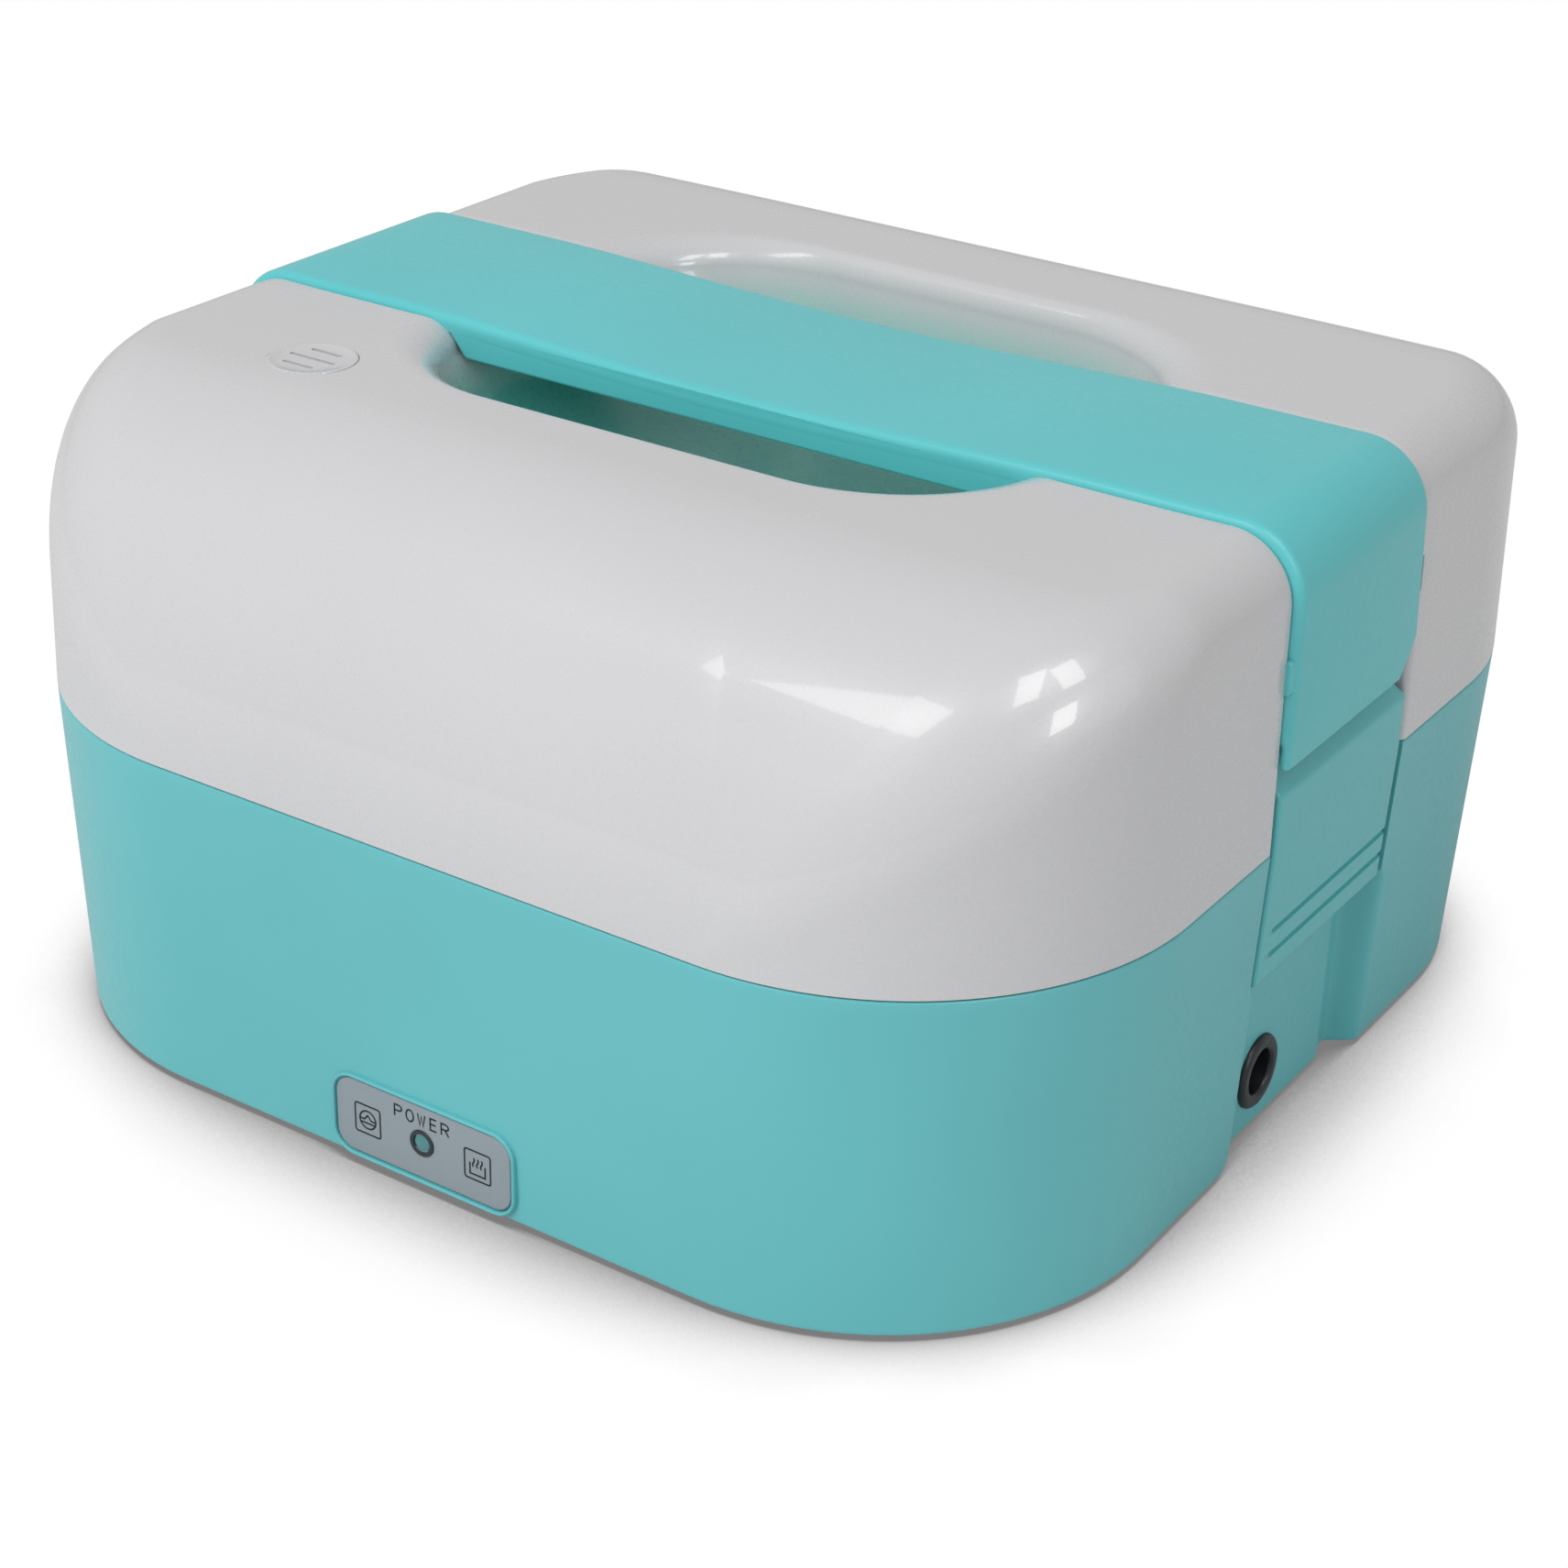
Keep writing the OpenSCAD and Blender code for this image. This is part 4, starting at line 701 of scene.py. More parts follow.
def lid_inside(seam, s):
    """The lid's inner wall: rows from the seam's outline inwards, up and over a flat ceiling to the middle."""
    edge = s.wall / s.half_w
    size = np.array([1.0, 1 - edge, 1 - 1.6 * edge, 1 - 3.6 * edge, 0.86, 0.5, 0.0])
    height = np.array([0.0, 0.0, 11.0, 21.0, s.ceiling - s.seam_z, s.ceiling - s.seam_z, s.ceiling - s.seam_z])
    rows = seam[None] * np.concatenate([np.repeat(size[:, None], 2, 1), np.ones((len(size), 1))], 1)[:, None]
    rows[1:, :, 2] += height[1:, None]
    rows[4:, :, 2] = s.ceiling
    return rows


def paint_bowl_shade(obj, s):
    """Stores how far each point of the finger bowl lies below its lip, from 0 at the lip to 1 well below it, for the
    painted turquoise shade that stands in for the strap's shadow and bounce light.
    """
    points = np.empty(len(obj.data.vertices) * 3, np.float32)
    obj.data.vertices.foreach_get("co", points)
    x, y, z = points.reshape(-1, 3).T / MM
    inside = (np.abs(x) < BOWL_HALF[0]) & (np.abs(y) < BOWL_HALF[1]) & (z > s.ceiling + 1)
    depth = np.where(inside, np.clip((s.top_z - z - s.shade_start) / s.shade_reach, 0, 1), 0)
    shade_mark = obj.data.attributes.new("depth", "FLOAT", "POINT")
    shade_mark.data.foreach_set("value", depth.astype(np.float32))


# strap

def strap_path(s, lid):
    """The strap's outer line seen from the front, from the lower right end over the top to the lower left.

    A nearly upright side, a quarter circle round the lid's rolled edge, and a top that sags in the middle by
    dip * (1 - (x / reach)^2)^2.
    """
    top = lid.top_z + s.proud
    centre = np.array([lid.half_w - lid.roll_side - 0.6, lid.top_z - lid.roll_side])
    r = top - centre[1]
    z = np.linspace(s.end_z, centre[1], 24)
    lean_out = 0.4 * (centre[1] - z) / (centre[1] - s.end_z)
    side = np.stack([centre[0] + r + lean_out, z], -1)
    a = np.linspace(0, RIGHT, 25)[1:]
    arc = centre + r * np.stack([np.cos(a), np.sin(a)], -1)
    x = np.linspace(centre[0], -centre[0], 121)[1:-1]
    sag = np.where(np.abs(x) < s.dip_reach, s.dip * (1 - (x / s.dip_reach) ** 2) ** 2, 0)
    flat = np.stack([x, top - sag], -1)
    right = np.concatenate([side, arc])
    return np.concatenate([right, flat, right[::-1] * np.array([-1, 1])])


def section_loop(half, thick, edge, under):
    """A closed section (depth, y): rounded outer edges of radius edge and inner edges of radius under."""
    a = np.linspace(0, RIGHT, 8)
    b = np.linspace(0, RIGHT, 4)
    depth = np.concatenate([edge - edge * np.sin(a), edge - edge * np.sin(a[::-1]),
                            thick - under + under * np.sin(b), thick - under + under * np.cos(b)])
    y = np.concatenate([-half + edge - edge * np.cos(a), half - edge + edge * np.cos(a[::-1]),
                        half - under + under * np.cos(b), -half + under - under * np.sin(b)])
    return depth, y


def swept_band(path, s, arc_z):
    """The strap's band: section_loop carried along the path and closed at both ends.

    Its back edge draws in evenly up to the level arc_z, and is cut at 45 degrees near both lower ends, where
    the band is also thinner so that the latches' shoulders can swing out behind it.
    """
    along = unit(np.gradient(path, axis=0))
    inward = np.stack([-along[:, 1], along[:, 0]], -1)
    depth, y = section_loop(s.half, s.thick, s.edge, 0.05)
    thin = 1 - (1 - s.end_thick / s.thick) * np.clip((s.relief_z - path[:, 1]) / 2, 0, 1)
    xz = path[:, None] + inward[:, None] * (thin[:, None] * depth[None])[..., None]
    rise = np.clip((path[:, 1] - s.end_z) / (arc_z - s.end_z), 0, 1)
    back = s.back_low - s.trim * rise - np.maximum(s.cut - (path[:, 1] - s.end_z), 0)
    yy = np.where(y[None] > 0, y[None] - s.half + back[:, None], y[None])
    body = np.stack([xz[..., 0], yy, xz[..., 1]], -1)
    ends = []
    for row, away in ((0, -along[0]), (-1, along[-1])):
        drop = np.array([away[0], 0, away[1]])
        middle = body[row].mean(0)
        size = np.array([0.82, 0.985, 1])
        caps = [middle + (body[row] - middle) * (1 - (1 - size) * k) + drop * 0.45 * np.sqrt(k) for k in (0.3, 1.0)]
        caps.append(np.repeat(caps[-1].mean(0)[None], body.shape[1], 0))
        ends.append(np.stack(caps))
    return np.concatenate([ends[0][::-1], body, ends[1]])


def skirt(s, y_out, sign):
    """One side skirt of the grip, its outer face at y_out: a rounded bar along X whose lower edge rises at both
    ends to meet the bowl."""
    x = np.concatenate([np.linspace(-63.2, -s.skirt_half, 9), np.linspace(-s.skirt_half, s.skirt_half, 41)[1:-1],
                        np.linspace(s.skirt_half, 63.2, 9)])
    low = s.skirt_z + np.maximum(np.abs(x) - s.skirt_half, 0) * 1.2
    y1 = y_out
    y0 = y_out - s.skirt_wall
    a = np.linspace(0, RIGHT, 5)
    r = 0.7
    y = np.concatenate([y0 + r - r * np.sin(a[::-1]) * 1, y1 - r + r * np.sin(a)])
    z = np.concatenate([r - r * np.cos(a[::-1]), r - r * np.cos(a)])
    y = np.concatenate([[y0], y, [y1]])
    rise = np.concatenate([[-1], z, [-1]])
    top = 124.6
    grid_z = np.where(rise[None] < 0, top, low[:, None] + rise[None])
    grid = np.stack([np.broadcast_to(x[:, None], grid_z.shape), np.broadcast_to(y[None] * sign, grid_z.shape),
                     grid_z], -1)
    cap = np.repeat(grid[[0, -1]].mean(1, keepdims=True), grid.shape[1], 1)
    return np.concatenate([cap[:1], grid, cap[1:]])


def strap_ear(s, lid, sx):
    """A small ear that reaches from the strap's front edge into the lid's notch: a rounded upright bar."""
    half_h = (lid.notch_top - lid.notch_z) / 2 - 0.3
    middle = (lid.notch_top + lid.notch_z) / 2
    outer = lid.half_w + s.proud - 0.9
    points, normals = rounded_rectangle(1.3, half_h, 0.8, 5)
    a = np.linspace(0, RIGHT, 4)
    reach = -s.half - 1.1
    insets = np.concatenate([[0], 0.4 * (1 - np.cos(a))])
    levels = np.concatenate([[s.half - 1.0], -reach - 0.4 + 0.4 * np.sin(a)])
    bar = aimed(capped(stacked(points, normals, insets, levels)), "-y", (outer - 1.3, 0, middle))
    return bar * np.array([sx, 1, 1])


# latches

def latch_surface(sx):
    """A latch: its side profile with rounded corners and two grooves, carried along Y with rounded ends."""
    body, lid = sizes("lunch_box_body"), sizes("lunch_box_lid")

    def face(z):
        return body.low_half_w + (body.half_w - body.low_half_w) * (z - body.floor_z) / (body.seam_z - body.floor_z)

    low, crease, top, wall = 39.7, 78.0, 84.2, 2.4
    hook, hook_in = 61.9, body.floor_x + 0.7
    pin = np.array([111.9, 92.5])
    groove = np.array([[-0.75, 0], [-0.45, 0.6], [-0.2, 0.8], [0.2, 0.8], [0.45, 0.6], [0.75, 0]])
    pts = [[face(low) - wall, low], [face(low), low]]
    radii = [0.9, 1.3]
    carve = [0, 0]
    for z in (45.0, 50.0):
        for dz, depth in groove:
            pts.append([face(z + dz), z + dz])
            radii.append(0.05)
            carve.append(depth)
    for (x, z), r in (((face(body.seam_z), 68.0), 2.0), ((face(body.seam_z), crease), 0.7), ((112.2, top), 0.6),
                      ((112.2, pin[1] - 2.4), 0.3), ((pin[0] + 2.4, pin[1] - 1.0), 0.6),
                      ((pin[0] + 2.4, pin[1] + 2.4), 2.0), ((pin[0] - 2.4, pin[1] + 2.4), 2.0),
                      ((pin[0] - 2.4, pin[1] - 2.4), 1.4), ((110.1, pin[1] - 3.4), 0.3), ((110.1, 73.0), 0.6),
                      ((face(68) - wall, 68.0), 0.6), ((face(hook) - wall, hook), 0.3), ((hook_in, hook), 0.3),
                      ((hook_in, hook - 1.7), 0.4), ((face(hook) - wall, hook - 3.4), 0.6)):
        pts.append([x, z])
        radii.append(r)
        carve.append(0)
    steps = 6
    profile = rounded_profile(pts, radii, steps)
    carve = np.repeat(np.array(carve, float), steps + 1)
    normal = profile_normals(profile)
    e_in, e_up = quarter(5)
    r = 0.8
    y_lo, y_hi = -26.0, 26.0
    inset = np.concatenate([r * e_in, [0, 0, 0, 0, 0, 0], r * e_in[::-1]])
    y = np.concatenate([y_lo + r * e_up, [-22.1, -21.5, -20.9, -12.0, 6.0, 20.0], y_hi - r * e_up[::-1]])
    g = np.clip((y + 21.9) / 0.9, 0, 1)
    back = y_hi - np.clip(profile[:, 1] - 80.7, 0, 3.5)
    yy = y_lo + (y[:, None] - y_lo) / (y_hi - y_lo) * (back[None] - y_lo)
    xz = profile[None] - normal[None] * inset[:, None, None]
    x = xz[..., 0] - carve[None] * g[:, None]
    body_rows = np.stack([x * sx, yy, xz[..., 1]], -1)
    cap = np.repeat(body_rows[[0, -1]].mean(1, keepdims=True), body_rows.shape[1], 1)
    return body_rows, cap


# finishes

def node_tree(name):
    """A new material with an empty node tree, an output and a principled shader."""
    mat = bpy.data.materials.new(name)
    mat.use_nodes = True
    tree = mat.node_tree
    tree.nodes.clear()
    out = tree.nodes.new("ShaderNodeOutputMaterial")
    shader = tree.nodes.new("ShaderNodeBsdfPrincipled")
    tree.links.new(shader.outputs[0], out.inputs[0])
    return mat, tree, shader


def linear(colour):
    """sRGB to linear light."""
    c = np.asarray(colour, float)
    return np.where(c <= 0.04045, c / 12.92, ((c + 0.055) / 1.055) ** 2.4)


def noise(tree, scale, detail=3.0, stretch=(1, 1, 1), kind="ShaderNodeTexNoise"):
    """A noise texture on object coordinates; stretch squeezes it along an axis for brushed metal."""
    place = tree.nodes.new("ShaderNodeTexCoord")
    turn = tree.nodes.new("ShaderNodeMapping")
    turn.inputs["Scale"].default_value = stretch
    tree.links.new(place.outputs["Object"], turn.inputs["Vector"])
    tex = tree.nodes.new(kind)
    tex.inputs["Scale"].default_value = scale
    if "Detail" in tex.inputs:
        tex.inputs["Detail"].default_value = detail
    tree.links.new(turn.outputs[0], tex.inputs["Vector"])
    return tex.outputs["Fac"] if "Fac" in tex.outputs else tex.outputs[0]


def ranged(tree, value, low, high, start=0.35, end=0.65):
    """value in start..end mapped to low..high."""
    node = tree.nodes.new("ShaderNodeMapRange")
    node.inputs["From Min"].default_value = start
    node.inputs["From Max"].default_value = end
    node.inputs["To Min"].default_value = low
    node.inputs["To Max"].default_value = high
    tree.links.new(value, node.inputs["Value"])
    return node.outputs[0]


def finish(name, colour, rough, metal=0.0, grain=700.0, grain_depth=0.02, tone=0.03, coat=0.0, spread=0.04,
           stretch=(1, 1, 1), deep=None):
    """A moulded or worked surface: slow colour and gloss variation, and a fine grain in the normal.

    Where the mesh's own attribute "depth" grows to 1, the colour goes over to deep: a painted shade that stands in for
    shadow and turquoise bounce light in the finger bowl.
    """
    mat, tree, shader = node_tree(name)
    base = linear(colour)
    slow = noise(tree, 14.0, 2.0)
    mix = tree.nodes.new("ShaderNodeMix")
    mix.data_type = "RGBA"
    mix.inputs["A"].default_value = tuple(base * (1 - tone)) + (1,)
    mix.inputs["B"].default_value = tuple(np.minimum(base * (1 + tone), 1)) + (1,)
    tree.links.new(ranged(tree, slow, 0.0, 1.0), mix.inputs["Factor"])
    shade = mix.outputs["Result"]
    # painted shade: the finger bowl's colour turns to the shade colour with the stored depth
    if deep is not None:
        shade_mark = tree.nodes.new("ShaderNodeAttribute")
        shade_mark.attribute_name = "depth"
        bowl_shade_mix = tree.nodes.new("ShaderNodeMix")
        bowl_shade_mix.data_type = "RGBA"
        bowl_shade_mix.inputs["B"].default_value = tuple(linear(deep)) + (1,)
        tree.links.new(shade_mark.outputs["Fac"], bowl_shade_mix.inputs["Factor"])
        tree.links.new(shade, bowl_shade_mix.inputs["A"])
        shade = bowl_shade_mix.outputs["Result"]
    tree.links.new(shade, shader.inputs["Base Color"])
    fine = noise(tree, grain, 2.0, stretch)
    tree.links.new(ranged(tree, fine, max(rough - spread, 0.02), rough + spread), shader.inputs["Roughness"])
    shader.inputs["Metallic"].default_value = metal
    shader.inputs["Coat Weight"].default_value = coat
    if deep is not None:
        tree.links.new(ranged(tree, shade_mark.outputs["Fac"], coat, 0.0, 0.0, 1.0), shader.inputs["Coat Weight"])
    shader.inputs["Coat Roughness"].default_value = 0.05
    bump = tree.nodes.new("ShaderNodeBump")
    bump.inputs["Strength"].default_value = grain_depth
    bump.inputs["Distance"].default_value = 0.0004
    tree.links.new(fine, bump.inputs["Height"])
    tree.links.new(bump.outputs[0], shader.inputs["Normal"])
    mat.diffuse_color = tuple(base) + (1,)
    return mat


def coat_with(obj, mat):
    """Gives an object this one material."""
    obj.data.materials.clear()
    obj.data.materials.append(mat)


def library():
    """Every finish of the object, by name, made once."""
    f = bpy.context.scene.lunch_box_finish
    table = {
        "teal_moulding": dict(colour=f.teal, rough=f.teal_rough),
        "teal_strap": dict(colour=f.teal_strap, rough=f.teal_rough),
        "teal_latch": dict(colour=f.teal_latch, rough=f.teal_rough),
        "white_gloss": dict(colour=f.white, rough=f.white_rough, coat=0.6, tone=0.012, spread=0.01, grain_depth=0.0),
        # the lid's white with a painted turquoise shade down in the finger bowl
        "white_with_bowl_shade": dict(colour=f.white, rough=f.white_rough, coat=0.6, tone=0.012, spread=0.01, grain_depth=0.0,
                           deep=f.teal_bowl_shade),
        "white_inner": dict(colour=(0.9, 0.9, 0.905), rough=0.45, tone=0.015),
        "silicone": dict(colour=(0.78, 0.8, 0.81), rough=0.62, grain=400.0, grain_depth=0.05),
        "teal_silicone": dict(colour=(0.5, 0.72, 0.73), rough=0.6, grain=400.0, grain_depth=0.05),
        "tray_white": dict(colour=(0.87, 0.88, 0.88), rough=0.3, tone=0.015),
        "cover_mist": dict(colour=(0.82, 0.87, 0.88), rough=0.28, tone=0.02),
        "brushed_steel": dict(colour=(0.74, 0.75, 0.76), rough=0.3, metal=1.0, grain=160.0, stretch=(1, 60, 60),
                              grain_depth=0.06, spread=0.08),
        "plate_aluminium": dict(colour=(0.78, 0.79, 0.8), rough=0.42, metal=1.0, grain=220.0, grain_depth=0.08),
        "ceramic": dict(colour=(0.62, 0.36, 0.28), rough=0.75, grain=300.0, grain_depth=0.2, tone=0.1),
        "plated_steel": dict(colour=(0.66, 0.67, 0.69), rough=0.28, metal=1.0, grain=300.0, spread=0.08),
        "bakelite": dict(colour=(0.8, 0.77, 0.7), rough=0.5, tone=0.05),
        "fuse_skin": dict(colour=(0.78, 0.72, 0.5), rough=0.45, tone=0.05),
        "lead_skin": dict(colour=(0.72, 0.2, 0.16), rough=0.5, tone=0.05),
        "panel_grey": dict(colour=f.grey, rough=0.38),
        "printed_line": dict(colour=(0.06, 0.07, 0.08), rough=0.6),
        "dark_ring": dict(colour=(0.13, 0.16, 0.18), rough=0.35),
        "lens": dict(colour=(0.26, 0.5, 0.51), rough=0.15, coat=0.4),
        "board_green": dict(colour=(0.14, 0.38, 0.24), rough=0.4, tone=0.1),
        "lamp": dict(colour=(0.6, 0.9, 0.86), rough=0.2, coat=0.4),
        "black_plastic": dict(colour=(0.085, 0.1, 0.115), rough=0.38),
        "brass": dict(colour=(0.82, 0.68, 0.38), rough=0.25, metal=1.0),
        "foot_grey": dict(colour=(0.5, 0.52, 0.54), rough=0.7, grain=350.0, grain_depth=0.08),
    }
    made = {}
    for name, values in table.items():
        own = "lunch_box_" + name
        made[name] = bpy.data.materials.get(own) or finish(own, **values)
    return made


NODE_FINISH = {
    "base_shell": "teal_moulding", "inner_well": "white_inner", "heating_plate": "plate_aluminium",
    "ptc_heater": "ceramic", "heater_clamp": "plated_steel", "clamp_screws": "plated_steel",
    "thermostat": "bakelite", "thermal_fuse": "fuse_skin", "inner_leads": "lead_skin",
    "indicator_panel": "panel_grey", "lens_bezel": "dark_ring", "indicator_lens": "lens",
    "led_board": "board_green", "indicator_led": "lamp", "inlet_socket": "black_plastic", "inlet_pins": "brass",
    "inlet_nut": "black_plastic", "rubber_feet": "foot_grey", "base_screws": "plated_steel",
    "steel_container": "brushed_steel", "food_tray": "tray_white", "tray_cover": "cover_mist",
    "tray_seal": "teal_silicone", "steam_plug": "teal_silicone", "lid_shell": "white_gloss",
    "lid_inner_panel": "white_inner", "lid_gasket": "silicone", "panel_screws": "plated_steel",
    "strap_handle": "teal_strap", "grip_underside": "teal_latch", "grip_screws": "plated_steel",
    "strap_screws": "plated_steel", "vent_cap": "white_gloss", "vent_tube": "silicone",
    "latch_pins": "plated_steel", "latch_right": "teal_latch", "latch_left": "teal_latch",
}


# operators, one for each piece or group of like pieces

class LUNCHBOX_OT_finishes(bpy.types.Operator):
    """Gives every carried-over node its finish."""
    bl_idname = "lunchbox.finishes"
    bl_label = "Finishes"

    def execute(self, context):
        made = library()
        for name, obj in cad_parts.items():
            coat_with(obj, made[NODE_FINISH[name]])
        return {"FINISHED"}


def refined(node, body, bevel):
    """A merged copy of a CAD node with flat stretches joined, smooth rounds and softly broken edges."""
    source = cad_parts[node]
    mesh = source.data.copy()
    mesh.transform(source.matrix_world)
    mesh.name = node + "_soft"
    obj = bpy.data.objects.new(node + "_soft", mesh)
    bpy.context.scene.collection.objects.link(obj)
    tidy(mesh, 1e-6)
    work = bmesh.new()
    work.from_mesh(mesh)
    bmesh.ops.dissolve_limit(work, angle_limit=np.radians(0.5), verts=work.verts, edges=work.edges)
    work.to_mesh(mesh)
    work.free()
    mesh.shade_smooth()
    crease_by_angle(obj, 30)
    if bevel:
        edge = obj.modifiers.new("broken_edges", "BEVEL")
        edge.width = bevel * MM
        edge.segments = 2
        edge.limit_method = "ANGLE"
        edge.angle_limit = np.radians(40)
        edge.harden_normals = True
    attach(obj, body)
    coat_with(obj, library()[NODE_FINISH[node]])
    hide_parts(node)
    return obj


INNER = (
    ("inner_well", "base", "white_inner", 0.5), ("heating_plate", "base", "plate_aluminium", 0.2),
    ("ptc_heater", "base", "heater_ceramic", 0.3), ("heater_clamp", "base", "steel_strip", 0.1),
    ("thermostat", "base", "thermostat_body", 0.2), ("thermal_fuse", "base", "fuse_body", 0.2),
    ("led_board", "base", "board", 0.1), ("inlet_nut", "base", "black_plastic", 0.2),
    ("steel_container", "container", "stainless", 0.2), ("food_tray", "tray", "tray_plastic", 0.5),
    ("tray_cover", "cover", "cover_plastic", 0.4), ("tray_seal", "cover", "teal_silicone", 0.3),
    ("steam_plug", "cover", "teal_silicone", 0.3), ("lid_inner_panel", "lid", "white_inner", 0.5),
    ("lid_gasket", "lid", "silicone", 0.4), ("grip_underside", "lid", "teal_latch", 0.4),
    ("vent_tube", "lid", "silicone", 0.2),
)


class LUNCHBOX_OT_inner(bpy.types.Operator):
    """Softens the inner pieces: well, heater, containers, cover, inner lid and the grip's underside."""
    bl_idname = "lunchbox.inner"
    bl_label = "Inner pieces"

    def execute(self, context):
        for node, body, slot, bevel in INNER:
            refined(node, body, bevel)
        return {"FINISHED"}


class LUNCHBOX_OT_base(bpy.types.Operator):
    """Makes the base's outer moulding as one smooth closed surface."""
    bl_idname = "lunchbox.base"
    bl_label = "Base moulding"

    def execute(self, context):
        s, f = sizes("lunch_box_body"), sizes("lunch_box_fittings")
        obj = make_piece("base_moulding", [base_surface(s), plate_frame(f, s)], "base", loops=(0, 1))
        punch(obj, (s.floor_x, f.inlet_y, f.inlet_z), (1, 0, 0), 6.0, 11.0, slack=3.0)
        for sx in (-1, 1):
            for sy in (-1, 1):
                punch(obj, (sx * 74.0, sy * 74.0, s.floor_z), (0, 0, -1), 3.6, 3.0, slack=3.0)
        crease_by_angle(obj, 38)
        coat_with(obj, library()["teal_moulding"])
        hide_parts("base_shell")
        return {"FINISHED"}


class LUNCHBOX_OT_lid(bpy.types.Operator):
    """Makes the lid's white shell with strap channel, latch pockets and finger bowl."""
    bl_idname = "lunchbox.lid"
    bl_label = "Lid shell"

    def execute(self, context):
        s = lid_sizes()
        grids, bowl, inside = lid_surfaces(s)
        obj = make_piece("lid_shell_white", grids + [bowl, inside], "lid", loops=(len(grids), len(grids) + 1))
        # stores the depths for the bowl's painted turquoise shade
        paint_bowl_shade(obj, s)
        f = sizes("lunch_box_fittings")
        punch(obj, (f.vent_x, f.vent_y, s.top_z), (0, 0, 1), f.vent_r + 0.1, 1.8)
        coat_with(obj, library()["white_with_bowl_shade"])
        crease_by_angle(obj, 62)
        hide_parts("lid_shell")
        return {"FINISHED"}


def lid_sizes():
    """Sizes of the lid together with those of the seam's outline."""
    s = sizes("lunch_box_lid")
    body = sizes("lunch_box_body")
    for key in ("half_w", "half_d", "corner", "seam_z", "seam_gap"):
        setattr(s, key, getattr(body, key))
    return s


class LUNCHBOX_OT_strap(bpy.types.Operator):
    """Makes the strap handle: its band, and the two skirts of the grip."""
    bl_idname = "lunchbox.strap"
    bl_label = "Strap handle"

    def execute(self, context):
        s, lid = sizes("lunch_box_strap"), lid_sizes()
        band = swept_band(strap_path(s, lid), s, lid.top_z - lid.roll_side)
        back = s.back_low - s.trim - 0.02
        grids = [band, skirt(s, back, 1), skirt(s, s.half - 0.02, -1), strap_ear(s, lid, 1), strap_ear(s, lid, -1)]
        obj = make_piece("strap_band", grids, "lid", loops=range(len(grids)))
        coat_with(obj, library()["teal_strap"])
        crease_by_angle(obj, 40)
        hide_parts("strap_handle")
        return {"FINISHED"}


class LUNCHBOX_OT_latches(bpy.types.Operator):
    """Makes both latches with their grooves and hooks."""
    bl_idname = "lunchbox.latches"
    bl_label = "Latches"

    def execute(self, context):
        for side, sx in (("right", 1), ("left", -1)):
            rows, cap = latch_surface(sx)
            obj = make_piece(side + "_latch_plate", [np.concatenate([cap[:1], rows, cap[1:]])], side + "_latch",
                             loops=(0,))
            coat_with(obj, library()["teal_latch"])
            crease_by_angle(obj, 40)
            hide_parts("latch_" + side)
        return {"FINISHED"}


class LUNCHBOX_OT_panel(bpy.types.Operator):
    """Makes the indicator plate with its printed marks, the lamp's ring and the lens."""
    bl_idname = "lunchbox.panel"
    bl_label = "Indicator panel"

    def execute(self, context):
        f, made = sizes("lunch_box_fittings"), library()
        at = (0, 0, f.plate_z)
        plate = make_piece("indicator_plate", [aimed(plate_surface(f), "-y", at)], "base", loops=(0,))
        crease_by_angle(plate, 40)
        coat_with(plate, made["panel_grey"])
        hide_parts("indicator_panel")
        level = -f.plate_y
        grids = [ribbon(line, f.mark_w, level - 0.1, level + 0.03) for line in plate_marks()]
        marks = make_piece("plate_marks", [aimed(g, "-y", at) for g in grids], "base", loops=range(len(grids)))
        coat_with(marks, made["printed_line"])
        front = level + 0.35
        ring = [(f.lens_r, level - 0.6), (f.lens_r, front - 0.35), (f.lens_r + 0.12, front - 0.08),
                (f.lens_r + 0.32, front), (f.bezel_r - 0.25, front), (f.bezel_r - 0.05, front - 0.1),
                (f.bezel_r, front - 0.3), (f.bezel_r, level - 0.6)]
        bezel = make_piece("lamp_ring", [aimed(closed_rows(turned(ring, 48)), "-y", at)], "base", loops=(0,))
        crease_by_angle(bezel, 50)
        coat_with(bezel, made["dark_ring"])
        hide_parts("lens_bezel")
        r = f.lens_r - 0.02
        dome = [(r, level - 0.8)] + [(r * np.cos(t), level - 0.12 + 0.3 * np.sin(t)) for t in np.linspace(0, RIGHT, 9)]
        lens = make_piece("lamp_lens", [aimed(capped(turned(dome, 48)), "-y", at)], "base", loops=(0,))
        coat_with(lens, made["lens"])
        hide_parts("indicator_lens")
        return {"FINISHED"}


def plate_surface(f):
    """The indicator plate: rounded front edge, flat face, and a round hole for the lamp."""
    points, normals = rounded_rectangle(f.plate_w / 2, f.plate_h / 2, f.plate_r)
    hole = unit(points) * (f.bezel_r + 0.05)
    a = np.linspace(0, RIGHT, 5)
    r, front, back = 0.3, -f.plate_y, -f.seat_y + 0.05
    insets = np.concatenate([[0], r * (1 - np.cos(a))])
    levels = np.concatenate([[back], front - r + r * np.sin(a)])
    outer = stacked(points, normals, insets, levels)
    inner = np.stack([np.column_stack([hole, np.full(len(hole), w)]) for w in (front, back)])
    return closed_rows(np.concatenate([outer, inner]))


